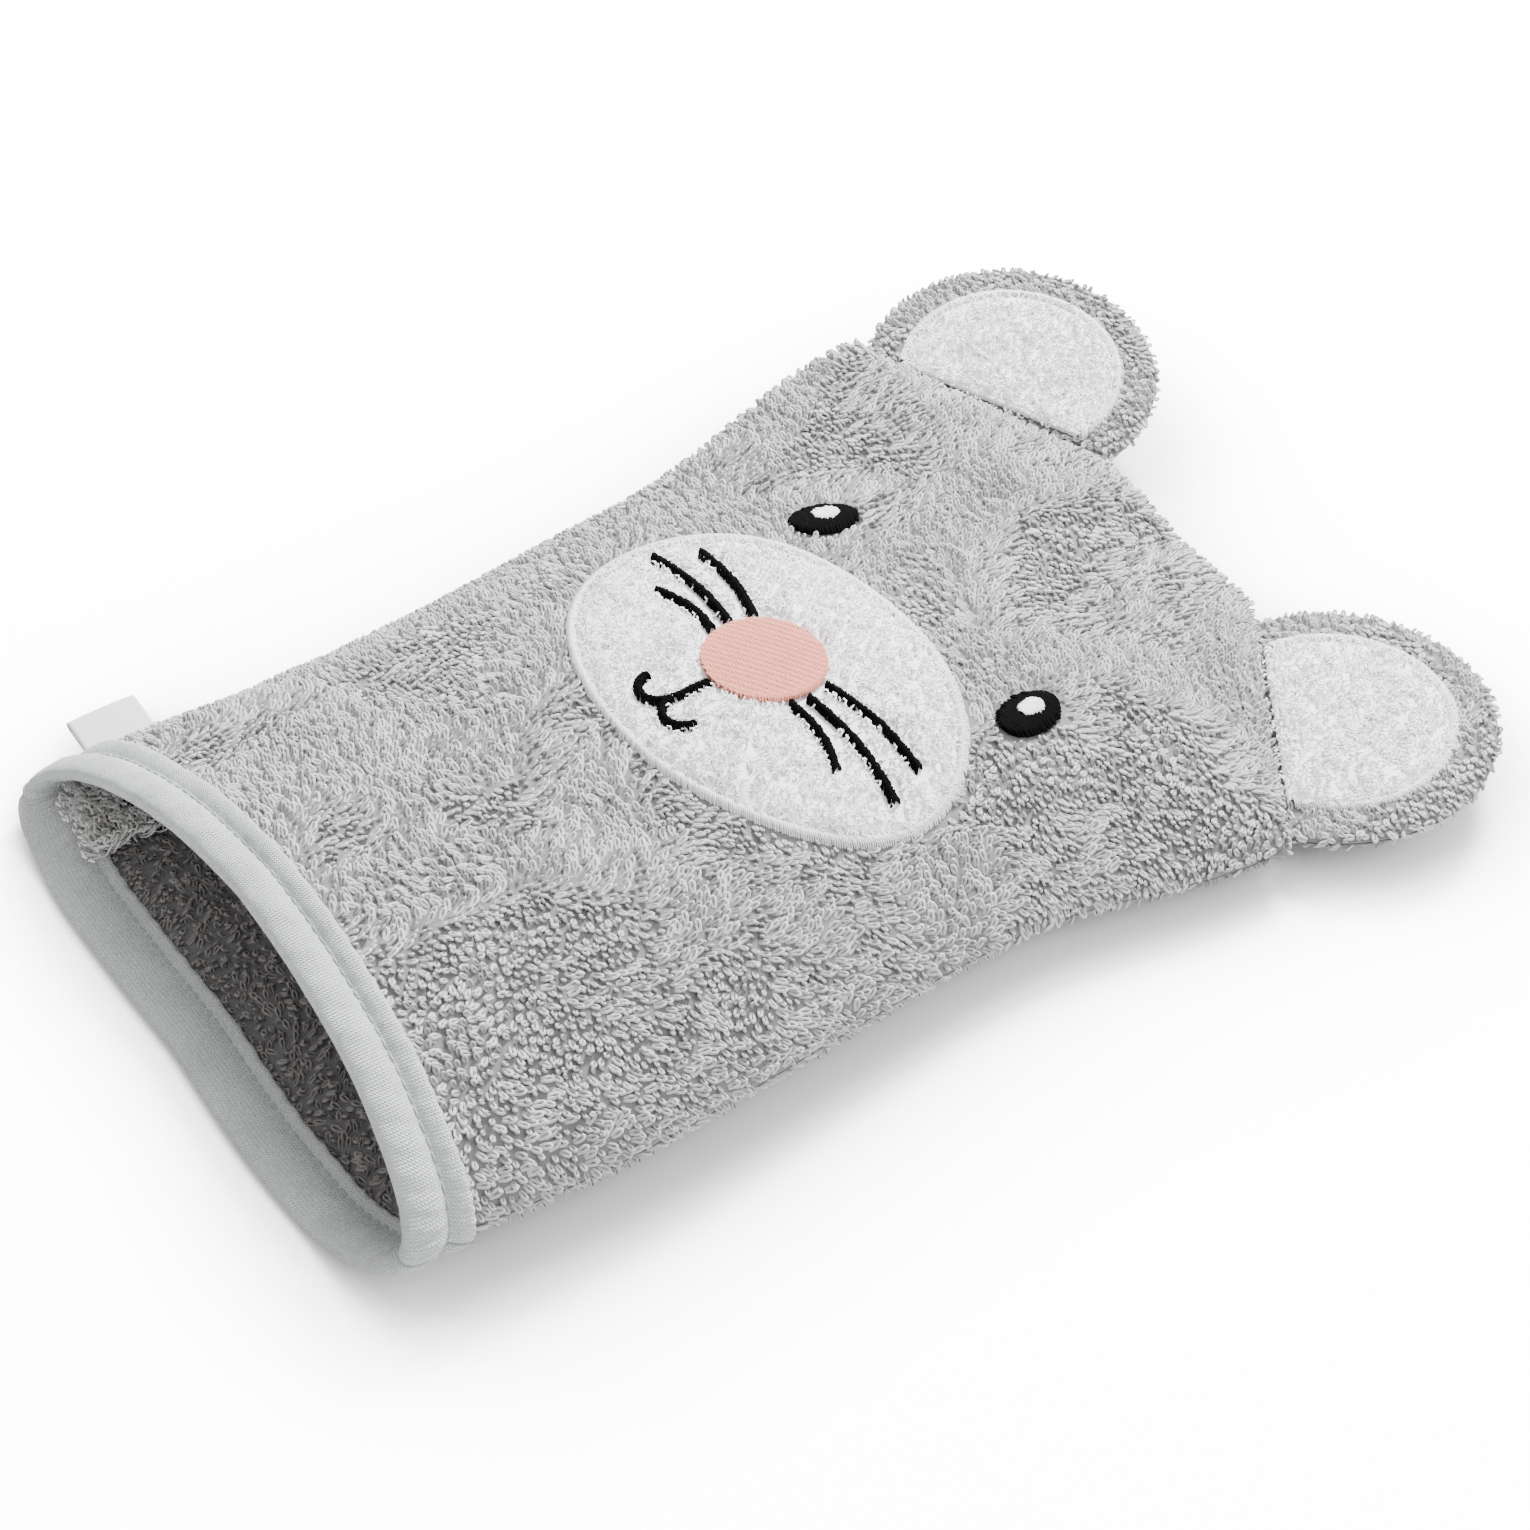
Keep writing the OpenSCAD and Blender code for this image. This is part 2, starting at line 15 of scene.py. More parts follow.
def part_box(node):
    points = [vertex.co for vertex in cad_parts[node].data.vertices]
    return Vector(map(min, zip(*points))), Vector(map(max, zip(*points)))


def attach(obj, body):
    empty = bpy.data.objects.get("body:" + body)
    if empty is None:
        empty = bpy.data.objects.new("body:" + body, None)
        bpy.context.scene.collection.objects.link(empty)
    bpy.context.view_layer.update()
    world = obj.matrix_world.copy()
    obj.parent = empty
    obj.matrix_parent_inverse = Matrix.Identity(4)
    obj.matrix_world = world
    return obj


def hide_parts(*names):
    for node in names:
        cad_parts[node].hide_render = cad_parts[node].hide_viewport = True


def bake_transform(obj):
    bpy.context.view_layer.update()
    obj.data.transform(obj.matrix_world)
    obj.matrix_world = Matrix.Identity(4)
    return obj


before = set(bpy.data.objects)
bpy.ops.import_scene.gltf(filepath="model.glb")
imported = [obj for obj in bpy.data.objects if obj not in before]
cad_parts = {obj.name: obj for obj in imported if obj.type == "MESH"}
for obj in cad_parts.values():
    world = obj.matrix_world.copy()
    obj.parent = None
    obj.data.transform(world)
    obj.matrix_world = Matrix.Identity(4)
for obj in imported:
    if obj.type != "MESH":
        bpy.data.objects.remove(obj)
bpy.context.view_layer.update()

# %% [markdown]
# ## Sizes
# All lengths are in millimetres until a mesh is made. Distances along the mitt are counted from the
# cuff's edge. What the frame can tell, such as the mitt's length, is read from its boxes, and the rest
# are the pattern's own sizes.

# %% Driving sizes
MM = 0.001
TERRY = 4.0
SEAM = 1.4
crown_lo, crown_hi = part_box("crown_seam")
HALF_L = crown_hi[1] / MM
MITT_L = 2 * HALF_L
HEAD_W, HEAD_SWAY = (crown_hi[0] - crown_lo[0]) / MM, (crown_hi[0] + crown_lo[0]) / 2 / MM
CUFF_W, BODY_W, NECK_W, CROWN_W = 160.0, 162.0, 159.0, 58.0
BODY_Y, BODY_SWAY, NECK_Y, NECK_SWAY = 45.0, 2.0, 140.0, -1.5
CORNER = {-1: 30.0, 1: 45.0}
CUFF_H, SEAM_LEFT_Z, SEAM_RIGHT_Z, CROWN_SEAM_Z = 38.0, 7.5, 16.0, 9.0
LIP_BACK, LIP_FORWARD, LIP_REACH, LIP_FADE = 9.0, 11.0, 96.0, 1.3
CUFF_SKEW, SKEW_N = 9.0, 1.2
CURL_H, CURL_Y, CURL_N, CURL_CROWN_N, CURL_SPREAD_Y = 17.0, 50.0, 2.0, 0.8, 190.0
SIDE_N, RIM_N, PRESS = 2.3, 1.45, 1.35
CREST_P, CREST_Q = 2.8, 0.9
CROWN_RISE = TERRY + SEAM / 2 + 0.4
FACE_Y = 131.0
print("mitt", round(MITT_L), "mm long, head", round(HEAD_W), "mm wide")

# %% [markdown]
# ## The mitt's skin
# A flat mitt puffed by air has a lens-shaped section. One formula gives every point of its skin, so that
# the cloth, its pile, the binding and the face all lie on the same surface. Soft folds are added to it
# as shallow valleys, because cloth that has been worn never lies quite smooth.

# %% Outline and section
def ease(a, b, u):
    return a + (b - a) * (1 - np.cos(math.pi * np.clip(u, 0, 1))) / 2


def ear_y(side):
    return np.where(side > 0, MITT_L - CORNER[1], MITT_L - CORNER[-1])


def half_w(y, side):
    """Half width of the flat outline, y from the cuff; side is 1 for the right and -1 for the left."""
    run = (HEAD_W - CROWN_W) / 2
    corner = np.where(side > 0, CORNER[1], CORNER[-1])
    ey = MITT_L - corner
    body, neck = BODY_W + 2 * side * BODY_SWAY, NECK_W + 2 * side * NECK_SWAY
    head = HEAD_W + 2 * side * HEAD_SWAY
    lower = np.where(y < BODY_Y, ease(CUFF_W, body, y / BODY_Y),
                     ease(body, neck, (y - BODY_Y) / (NECK_Y - BODY_Y)))
    upper = np.where(y < ey, ease(neck, head, (y - NECK_Y) / (ey - NECK_Y)),
                     head - 2 * run * (y - ey) / corner)
    return np.where(y < NECK_Y, lower, upper) / 2


def seam_z(x, y):
    """The seam plane leans from the left side seam up to the right one."""
    left, right = (ease(z, CROWN_SEAM_Z, y / MITT_L) for z in (SEAM_LEFT_Z, SEAM_RIGHT_Z))
    return left + (right - left) * np.clip(x / CUFF_W + 0.5, 0, 1)


def rise(y):
    fall = np.clip(1 - np.clip(y / MITT_L, 0, 1) ** CREST_P, 0, 1) ** CREST_Q
    return CROWN_RISE + (CUFF_H - (SEAM_LEFT_Z + SEAM_RIGHT_Z) / 2 - CROWN_RISE) * fall


def drop(x, y):
    return np.minimum(seam_z(x, y) * PRESS, CROWN_RISE + (MITT_L - y) * 0.6)


def curl(x, y):
    """The left corner of the head curls off the table."""
    power = ease(CURL_N, CURL_CROWN_N, (y - CURL_SPREAD_Y) / (MITT_L - CURL_SPREAD_Y))
    growth = ease(0, 1, (y - CURL_Y) / (ear_y(-1) - CURL_Y))
    return CURL_H * np.clip(-x / (HEAD_W / 2 - HEAD_SWAY), 0, None) ** power * growth


def lip_share(y):
    return np.clip(1 - y / LIP_REACH, 0, 1) ** LIP_FADE


def skew(x, y):
    """The left end of the cuff sits further forward."""
    return -CUFF_SKEW * np.clip(-2 * x / CUFF_W, 0, None) ** SKEW_N * lip_share(y)


# %% Soft folds
# Each fold: its two ends (x, y), its width and its depth; a negative depth is a ridge.
FOLDS = [
    ((86, 176), (48, 190), 9, 2.2),
    ((88, 160), (58, 172), 7, 1.5),
    ((80, 192), (64, 214), 7, -1.4),
    ((-40, 14), (-44, 84), 8, 1.6),
    ((-58, 20), (-62, 96), 7, -1.0),
    ((6, 26), (22, 84), 11, 1.1),
    ((60, 40), (54, 104), 10, 1.0),
    ((-66, 150), (-50, 196), 9, 1.3),
    ((-20, 214), (18, 206), 9, 1.2),
    ((-68, 12), (-60, 52), 7, -1.8),
    ((-78, 40), (-48, 58), 6, 1.8),
    ((-80, 60), (-56, 72), 5, 1.3),
    ((66, 206), (44, 220), 7, 1.4),
]


def wrinkle(x, y):
    """Height that the soft folds and the cloth's slow waves add to the upper skin."""
    z = 0.5 * np.sin(x / 15 + 0.7) * np.sin(y / 19 + 0.4) + 0.35 * np.sin((x * 0.6 + y) / 9.5)
    for (x0, y0), (x1, y1), width, depth in FOLDS:
        dx, dy = x1 - x0, y1 - y0
        along = np.clip(((x - x0) * dx + (y - y0) * dy) / (dx * dx + dy * dy), 0, 1)
        off = np.hypot(x - x0 - along * dx, y - y0 - along * dy)
        z = z - depth * np.exp(-((off / width) ** 2))
    return z * np.clip((y - 6) / 20, 0, 1) * np.clip((MITT_L - y) / 14, 0, 1)


def skin(turn, y, d, layer):
    """Points of the skin in millimetres, d outside it; turn runs over the section from the right seam
    (0) to the left seam (pi), and layer is 1 for the front panel and -1 for the back one."""
    turn, y, d = np.broadcast_arrays(*(np.asarray(v, float) for v in (turn, y, d)))
    c, s = np.cos(turn), np.clip(np.sin(turn), 0, 1)
    side = np.where(c < 0, -1, 1)
    corner = np.where(side > 0, CORNER[1], CORNER[-1])
    slant = np.where(y > MITT_L - corner, np.hypot((HEAD_W - CROWN_W) / 2, corner) / corner, 1)
    x = (half_w(y, side) + d * slant) * side * np.abs(c) ** (2 / SIDE_N)
    bulge = s ** (2 / RIM_N)
    crown = np.sqrt(np.clip(1 - np.clip((y - MITT_L + 6) / 6.4, 0, 1) ** 2, 0, 1))
    inner = np.where(d < -2, np.sqrt(np.clip((MITT_L - 7 - y) / 20, 0.0001, 1)), 1) * crown
    depth = ((rise(y) if layer > 0 else drop(x, y)) - SEAM / 2 + d) * inner * bulge
    level = seam_z(x, y) + layer * (SEAM / 2 + depth)
    if layer < 0:
        level = np.minimum(seam_z(x, y) - SEAM / 2, np.maximum(np.maximum(0.35, -d), level))
    else:
        level = level + wrinkle(x, y) * s
    shift = lip_share(y) * s * (LIP_BACK if layer > 0 else -LIP_FORWARD) + skew(x, y)
    return np.stack([x, y + shift - HALF_L, level + curl(x, y)], -1)


def on_face(x, y, lift):
    """Points above the front panel over the plan points (x, y from the cuff), in millimetres."""
    x, y, lift = np.broadcast_arrays(*(np.asarray(v, float) for v in (x, y, lift)))
    c = np.clip(np.abs(x) / half_w(y, np.sign(x)), 0, 1) ** (SIDE_N / 2)
    turn = np.where(x < 0, math.pi - np.arccos(c), np.arccos(c))
    p = skin(turn, y, 0.0, 1)
    return np.stack([x, p[..., 1], p[..., 2] + lift], -1)


print("crest over the face", round(float(on_face(0, FACE_Y, 0)[2]), 1), "mm")

# %% [markdown]
# ## Helpers for meshes
# A grid of points makes a sheet, a ring of points round a path makes a tube, and both come from the same
# small function. Places go into the mesh in metres, and every object stays at the origin.

# %% Mesh helpers
def piece(name, points, faces, material, smooth=True):
    """A mesh object from points in millimetres."""
    mesh = bpy.data.meshes.new(name)
    mesh.from_pydata((np.asarray(points, float) * MM).tolist(), [], [list(map(int, f)) for f in faces])
    mesh.validate()
    if material:
        mesh.materials.append(material)
    if smooth:
        mesh.shade_smooth()
    obj = bpy.data.objects.new(name, mesh)
    bpy.context.scene.collection.objects.link(obj)
    return obj


def grid_faces(rows, cols, loop_rows=False, loop_cols=False, flip=False, start=0):
    """Quads of a grid of points, rows by cols, joined end to end where asked."""
    out = []
    for i in range(rows if loop_rows else rows - 1):
        for k in range(cols if loop_cols else cols - 1):
            a, b = i * cols + k, i * cols + (k + 1) % cols
            c, d = ((i + 1) % rows) * cols + (k + 1) % cols, ((i + 1) % rows) * cols + k
            quad = (a, d, c, b) if flip else (a, b, c, d)
            out.append([start + q for q in quad])
    return out


def slab(name, upper, lower, material, flip=False):
    """A closed sheet between two grids of points of the same size."""
    rows, cols = upper.shape[:2]
    n = rows * cols
    faces = grid_faces(rows, cols, flip=flip) + grid_faces(rows, cols, flip=not flip, start=n)
    edge = [k for k in range(cols)] + [i * cols + cols - 1 for i in range(1, rows)]
    edge += [(rows - 1) * cols + k for k in range(cols - 2, -1, -1)]
    edge += [i * cols for i in range(rows - 2, 0, -1)]
    for a, b in zip(edge, edge[1:] + edge[:1]):
        faces.append((a, a + n, b + n, b) if not flip else (a, b, b + n, a + n))
    return piece(name, np.concatenate([upper.reshape(-1, 3), lower.reshape(-1, 3)]), faces, material)


def add_uv(obj, values):
    """One UV pair, in millimetres, for each vertex."""
    layer = obj.data.uv_layers.new(name="UVMap")
    index = np.empty(len(obj.data.loops), int)
    obj.data.loops.foreach_get("vertex_index", index)
    layer.data.foreach_set("uv", np.asarray(values, float)[index].ravel())


print("helpers ready")

# %% [markdown]
# ## Shared shader groups
# Yarn is never one even colour, so one group mottles a colour at two scales for every cloth and thread.
# A second group gives the small up-and-down height of a plain weave for the binding and the tag.

# %% Node group helpers
def new_group(name, inputs, outputs, kind="ShaderNodeTree"):
    tree = bpy.data.node_groups.new(name, kind)
    for label, sort, value in inputs:
        sock = tree.interface.new_socket(name=label, in_out="INPUT", socket_type=sort)
        if value is not None:
            sock.default_value = value
    for label, sort in outputs:
        tree.interface.new_socket(name=label, in_out="OUTPUT", socket_type=sort)
    return tree, tree.nodes.new("NodeGroupInput"), tree.nodes.new("NodeGroupOutput")


def add(tree, kind, links=None, **settings):
    """A node with its settings and its inputs, each a value or another node's socket."""
    node = tree.nodes.new(kind)
    for key, value in settings.items():
        setattr(node, key, value)
    for key, value in (links or {}).items():
        sock = node.inputs[key]
        if isinstance(value, bpy.types.NodeSocket):
            tree.links.new(value, sock)
        else:
            sock.default_value = value
    return node


def calc(tree, operation, *values):
    """The output of one math node."""
    return add(tree, "ShaderNodeMath", dict(enumerate(values)), operation=operation).outputs[0]


# %% Mottle and weave
def make_mottle():
    tree, gin, gout = new_group(
        "yarn_mottle",
        [("Color", "NodeSocketColor", (0.5, 0.5, 0.5, 1)), ("Fine Scale", "NodeSocketFloat", 900.0),
         ("Broad Scale", "NodeSocketFloat", 45.0), ("Fine Amount", "NodeSocketFloat", 0.2),
         ("Broad Amount", "NodeSocketFloat", 0.08)],
        [("Color", "NodeSocketColor"), ("Value", "NodeSocketFloat")])
    coord = add(tree, "ShaderNodeTexCoord")
    noises = [add(tree, "ShaderNodeTexNoise", {
        "Vector": coord.outputs["Object"], "Scale": gin.outputs[f"{grade} Scale"],
        "Detail": 2.0}).outputs["Fac"] for grade in ("Fine", "Broad")]
    swings = [calc(tree, "MULTIPLY", calc(tree, "SUBTRACT", noise, 0.5), gin.outputs[f"{grade} Amount"])
              for grade, noise in zip(("Fine", "Broad"), noises)]
    gain = calc(tree, "MULTIPLY_ADD", calc(tree, "ADD", *swings), 2.0, 1.0)
    scaled = add(tree, "ShaderNodeVectorMath", {0: gin.outputs["Color"], "Scale": gain}, operation="SCALE")
    tree.links.new(scaled.outputs[0], gout.inputs["Color"])
    tree.links.new(noises[0], gout.inputs["Value"])
    return tree


def make_weave():
    tree, gin, gout = new_group(
        "plain_weave", [("Pitch", "NodeSocketFloat", 0.4), ("Turn", "NodeSocketFloat", 0.785)],
        [("Height", "NodeSocketFloat")])
    coord = add(tree, "ShaderNodeTexCoord")
    turned = add(tree, "ShaderNodeVectorRotate", {
        "Vector": coord.outputs["UV"], "Angle": gin.outputs["Turn"]}, rotation_type="Z_AXIS")
    step = calc(tree, "DIVIDE", math.pi, gin.outputs["Pitch"])
    waves = add(tree, "ShaderNodeVectorMath", {0: turned.outputs[0], "Scale": step}, operation="SCALE")
    parts = add(tree, "ShaderNodeSeparateXYZ", {0: waves.outputs[0]})
    sines = [calc(tree, "SINE", parts.outputs[i]) for i in (0, 1)]
    warp, weft = (calc(tree, "ABSOLUTE", sine) for sine in sines)
    over = calc(tree, "GREATER_THAN", calc(tree, "MULTIPLY", *sines), 0.0)
    mix = add(tree, "ShaderNodeMix", {0: over, 2: warp, 3: weft})
    tree.links.new(mix.outputs[0], gout.inputs["Height"])
    return tree


MOTTLE, WEAVE = make_mottle(), make_weave()
print("groups", MOTTLE.name, WEAVE.name)

# %% [markdown]
# ## Finishes
# Terry, plush and thread scatter light softly, which the shader's sheen gives. Constants sit on the
# shader's own sockets, and only what changes over the surface comes through nodes.

# %% Cloth material
def cloth(name, color, fine=0.2, broad=0.08, fine_scale=900.0, rough=0.95, sheen=0.25, bump=0.3,
          bump_depth=0.00012, weave=None, tint=0.0, shine=0.25):
    mat = bpy.data.materials.new(name)
    mat.use_nodes = True
    tree = mat.node_tree
    bsdf = tree.nodes["Principled BSDF"]
    group = add(tree, "ShaderNodeGroup", node_tree=MOTTLE)
    for label, value in (("Color", (*color, 1)), ("Fine Scale", fine_scale), ("Fine Amount", fine),
                         ("Broad Amount", broad)):
        group.inputs[label].default_value = value
    tone = group.outputs["Color"]
    if tint:
        each = add(tree, "ShaderNodeAttribute", attribute_name="tint")
        gain = add(tree, "ShaderNodeMapRange", {
            "Value": each.outputs["Fac"], "To Min": 1 - tint, "To Max": 1 + tint})
        tone = add(tree, "ShaderNodeVectorMath", {0: tone, "Scale": gain.outputs[0]},
                   operation="SCALE").outputs[0]
    tree.links.new(tone, bsdf.inputs["Base Color"])
    height = group.outputs["Value"]
    if weave:
        knit = add(tree, "ShaderNodeGroup", node_tree=WEAVE)
        knit.inputs["Pitch"].default_value = weave
        height = knit.outputs["Height"]
    dent = add(tree, "ShaderNodeBump", {"Height": height, "Strength": bump, "Distance": bump_depth})
    tree.links.new(dent.outputs[0], bsdf.inputs["Normal"])
    for label, value in (("Roughness", rough), ("Sheen Weight", sheen), ("Sheen Roughness", 0.6),
                         ("Specular IOR Level", shine)):
        bsdf.inputs[label].default_value = value
    mat.diffuse_color = (*color, 1)
    return mat


loop_grey = cloth("terry_loops_grey", (0.45, 0.45, 0.455), fine=0.16, broad=0.16, tint=0.24)
# Painted shade: the ground under the loops is far darker than the loops' own grey, standing in for the shade in
# the gaps between them.
ground_shade_grey = cloth("terry_ground_painted_shade", (0.16, 0.16, 0.163), fine=0.25)
# Painted shade: the inside loops are the same terry as the outside ones, made darker for the shade inside the
# mitt, and a little warmer.
inside_shade_grey = cloth("terry_inside_painted_shade", (0.30, 0.28, 0.27), fine=0.16, tint=0.2)
plush_white = cloth("plush_white", (0.95, 0.955, 0.96), fine=0.05, broad=0.03, sheen=0.4, tint=0.05)
plush_ground = cloth("plush_ground_white", (0.90, 0.905, 0.91), fine=0.08, broad=0.04, sheen=0.4)
binding_pale = cloth("binding_cotton", (0.64, 0.66, 0.665), fine=0.16, broad=0.14, sheen=0.1, bump=1.0,
                     bump_depth=0.00030, weave=0.50)
# Painted shade: the topstitch thread is far darker than the binding, so that the stitch line reads as shaded
# dents.
topstitch_shade_thread = cloth("topstitch_painted_dent_shade", (0.34, 0.35, 0.355), fine=0.12, rough=0.5, fine_scale=1500)
tag_white = cloth("tag_tape", (0.84, 0.86, 0.86), fine=0.05, broad=0.04, sheen=0.1, bump=0.8,
                  bump_depth=0.00010, weave=0.32)
nose_pink = cloth("thread_pink", (0.80, 0.31, 0.235), fine=0.22, rough=0.5, sheen=0.1, fine_scale=1500)
# Painted shade: a dark red pad under the nose's fill stitches, showing as shade in the pinholes between them.
nose_shade = cloth("nose_pad_painted_shade", (0.28, 0.09, 0.07), fine=0.16, rough=0.8, sheen=0.0)
thread_black = cloth("thread_black", (0.002, 0.002, 0.0022), fine=0.5, rough=0.8, sheen=0.0,
                     fine_scale=1500, shine=0.04)
thread_white = cloth("thread_white", (0.93, 0.935, 0.94), fine=0.10, rough=0.35, sheen=0.15,
                     fine_scale=1500, shine=0.5)
tuft_cream = cloth("cut_loops_cream", (0.80, 0.79, 0.77), fine=0.12, tint=0.15)
print("finishes", len(bpy.data.materials))

# %% [markdown]
# ## Terry loops by Geometry Nodes
# Terry is a ground weave with rows of yarn loops standing out of it on both faces. A modelled loop is a
# narrow teardrop of yarn with both feet close together, and a tree of nodes scatters it over the cloth at
# even spacing. Each loop spins with a slow noise, so that neighbours lie in swirls as washed terry does,
# and leans over by a random angle. A tint is stored on each loop for its material to read.

# %% Node tree helpers
def geometry_tree(name, inputs):
    return new_group(name, [("Geometry", "NodeSocketGeometry", None)] + inputs,
                     [("Geometry", "NodeSocketGeometry")], "GeometryNodeTree")


def swept(tree, curve, o):
    """A round tube along a curve, as thick and as smooth as the tree's inputs ask."""
    ring = add(tree, "GeometryNodeCurvePrimitiveCircle", {"Resolution": o["Sides"], "Radius": o["Radius"]})
    return add(tree, "GeometryNodeCurveToMesh", {
        "Curve": curve, "Profile Curve": ring.outputs[0], "Fill Caps": True}).outputs[0]


def finished(tree, geometry, material, gout):
    """Make the result real, smooth and coloured, and send it out of the tree."""
    real = add(tree, "GeometryNodeRealizeInstances", {"Geometry": geometry})
    smooth = add(tree, "GeometryNodeSetShadeSmooth", {"Geometry": real.outputs[0]})
    done = add(tree, "GeometryNodeSetMaterial", {"Geometry": smooth.outputs[0], "Material": material})
    tree.links.new(done.outputs[0], gout.inputs[0])


def grown(obj, tree, material, **values):
    """Run a tree on an object, and keep the result as the object's own plain mesh."""
    mod = obj.modifiers.new(tree.name, "NODES")
    mod.node_group = tree
    values = {key.replace("_", " "): value for key, value in values.items()}
    values["Material"] = material
    for item in tree.interface.items_tree:
        if item.item_type == "SOCKET" and item.in_out == "INPUT" and item.name in values:
            mod[item.identifier] = values[item.name]
    deps = bpy.context.evaluated_depsgraph_get()
    mesh = bpy.data.meshes.new_from_object(obj.evaluated_get(deps), preserve_all_data_layers=True,
                                           depsgraph=deps)
    obj.modifiers.clear()
    old, obj.data = obj.data, mesh
    bpy.data.meshes.remove(old)
    print(obj.name, sum(len(p.vertices) - 2 for p in mesh.polygons), "triangles")
    return obj


def random_value(tree, low, high, seed, kind="FLOAT"):
    node = tree.nodes.new("FunctionNodeRandomValue")
    node.data_type = kind
    for sock in node.inputs:
        if sock.enabled and sock.name in ("Min", "Max"):
            value = low if sock.name == "Min" else high
            if isinstance(value, bpy.types.NodeSocket):
                tree.links.new(value, sock)
            else:
                sock.default_value = value
        if sock.name == "Seed":
            tree.links.new(seed, sock)
    return next(s for s in node.outputs if s.enabled)


def turn_by(tree, rotation, axis, angle):
    by = add(tree, "FunctionNodeAxisAngleToRotation", {"Axis": axis, "Angle": angle})
    return add(tree, "FunctionNodeRotateRotation", {"Rotation": rotation, "Rotate By": by.outputs[0]},
               rotation_space="LOCAL").outputs[0]


# %% The scatter tree
# The bend's handles as shares of the loop's half width and height, the depth of its feet as a share of the
# yarn's radius, how far the slow noise and chance turn a loop in radians, and the spread of sizes.
HANDLE_REACH, HANDLE_RISE, FOOT_DEPTH = 5.5, 1.3, -1.2
SWIRL_TURN, LOOSE_TURN, SIZE_LOW, SIZE_HIGH = 12.0, 1.3, 0.82, 1.16


def make_scatter(name, arch):
    """A tree that scatters a swept piece of yarn or fibre over a surface."""
    tree, gin, gout = geometry_tree(name, [
        ("Spacing", "NodeSocketFloat", 0.0017), ("Height", "NodeSocketFloat", 0.0022),
        ("Width", "NodeSocketFloat", 0.0012), ("Radius", "NodeSocketFloat", 0.00036),
        ("Lean Low", "NodeSocketFloat", 0.3), ("Lean High", "NodeSocketFloat", 1.0),
        ("Swirl", "NodeSocketFloat", 30.0), ("Sides", "NodeSocketInt", 4), ("Bends", "NodeSocketInt", 6),
        ("Seed", "NodeSocketInt", 1), ("Material", "NodeSocketMaterial", None)])
    o = gin.outputs
    pile = add(tree, "GeometryNodeInputNamedAttribute", {"Name": "pile"}, data_type="FLOAT")
    spots = add(tree, "GeometryNodeDistributePointsOnFaces", {
        "Mesh": o["Geometry"], "Distance Min": o["Spacing"], "Density Max": 4000000.0,
        "Density Factor": pile.outputs[0], "Seed": o["Seed"]}, distribute_method="POISSON")

    half = calc(tree, "MULTIPLY", o["Width"], 0.5)
    left, wide, wide_left = (calc(tree, "MULTIPLY", half, share)
                             for share in (-1.0, HANDLE_REACH, -HANDLE_REACH))
    tall = calc(tree, "MULTIPLY", o["Height"], HANDLE_RISE)
    root = calc(tree, "MULTIPLY", o["Radius"], FOOT_DEPTH)

    def spot(x, y, z):
        return add(tree, "ShaderNodeCombineXYZ", {0: x, 1: y, 2: z}).outputs[0]

    if arch:
        places = {"Start": spot(left, 0.0, root), "Start Handle": spot(wide_left, half, tall),
                  "End Handle": spot(wide, left, tall), "End": spot(half, 0.0, root)}
    else:
        places = {"Start": spot(0.0, 0.0, root), "Start Handle": spot(0.0, left, half),
                  "End Handle": spot(left, 0.0, tall), "End": spot(half, 0.0, o["Height"])}
    line = add(tree, "GeometryNodeCurvePrimitiveBezierSegment", {"Resolution": o["Bends"], **places})
    yarn = line.outputs[0]
    if not arch:
        along = add(tree, "GeometryNodeSplineParameter")
        thin = add(tree, "ShaderNodeMapRange", {"Value": along.outputs["Factor"], "To Min": 1.0, "To Max": 0.3})
        yarn = add(tree, "GeometryNodeSetCurveRadius", {"Curve": yarn, "Radius": thin.outputs[0]}).outputs[0]

    where = add(tree, "GeometryNodeInputPosition")
    drift = add(tree, "ShaderNodeTexNoise", {"Vector": where.outputs[0], "Scale": o["Swirl"], "Detail": 1.0})
    swirl = calc(tree, "MULTIPLY", drift.outputs["Fac"], SWIRL_TURN)
    spin = calc(tree, "ADD", swirl, random_value(tree, -LOOSE_TURN, LOOSE_TURN, o["Seed"]))
    facing = turn_by(tree, spots.outputs["Rotation"], (0, 0, 1), spin)
    facing = turn_by(tree, facing, (1, 0, 0), random_value(tree, o["Lean Low"], o["Lean High"], o["Seed"]))
    size = random_value(tree, SIZE_LOW, SIZE_HIGH, o["Seed"])
    set_out = add(tree, "GeometryNodeInstanceOnPoints", {
        "Points": spots.outputs["Points"], "Instance": swept(tree, yarn, o), "Rotation": facing, "Scale": size})
    tinted = add(tree, "GeometryNodeStoreNamedAttribute", {
        "Geometry": set_out.outputs[0], "Name": "tint", "Value": random_value(tree, 0.0, 1.0, o["Seed"])},
        data_type="FLOAT", domain="INSTANCE")
    finished(tree, tinted.outputs[0], o["Material"], gout)
    return tree


LOOPS = make_scatter("terry_loops", True)
FIBRES = make_scatter("plush_fibres", False)
print("scatter trees", LOOPS.name, FIBRES.name)

# %% [markdown]
# ## Threads by Geometry Nodes
# Embroidery and topstitching are threads that follow a path. Python lays each stitch as a short line that
# dips at both ends, where the needle went through, and one small tree sweeps a round thread along them all.

# %% The thread tree
def make_threads():
    tree, gin, gout = geometry_tree("threads", [
        ("Radius", "NodeSocketFloat", 0.0002), ("Sides", "NodeSocketInt", 5),
        ("Material", "NodeSocketMaterial", None)])
    o = gin.outputs
    line = add(tree, "GeometryNodeMeshToCurve", {"Mesh": o["Geometry"]})
    finished(tree, swept(tree, line.outputs[0], o), o["Material"], gout)
    return tree


THREADS = make_threads()


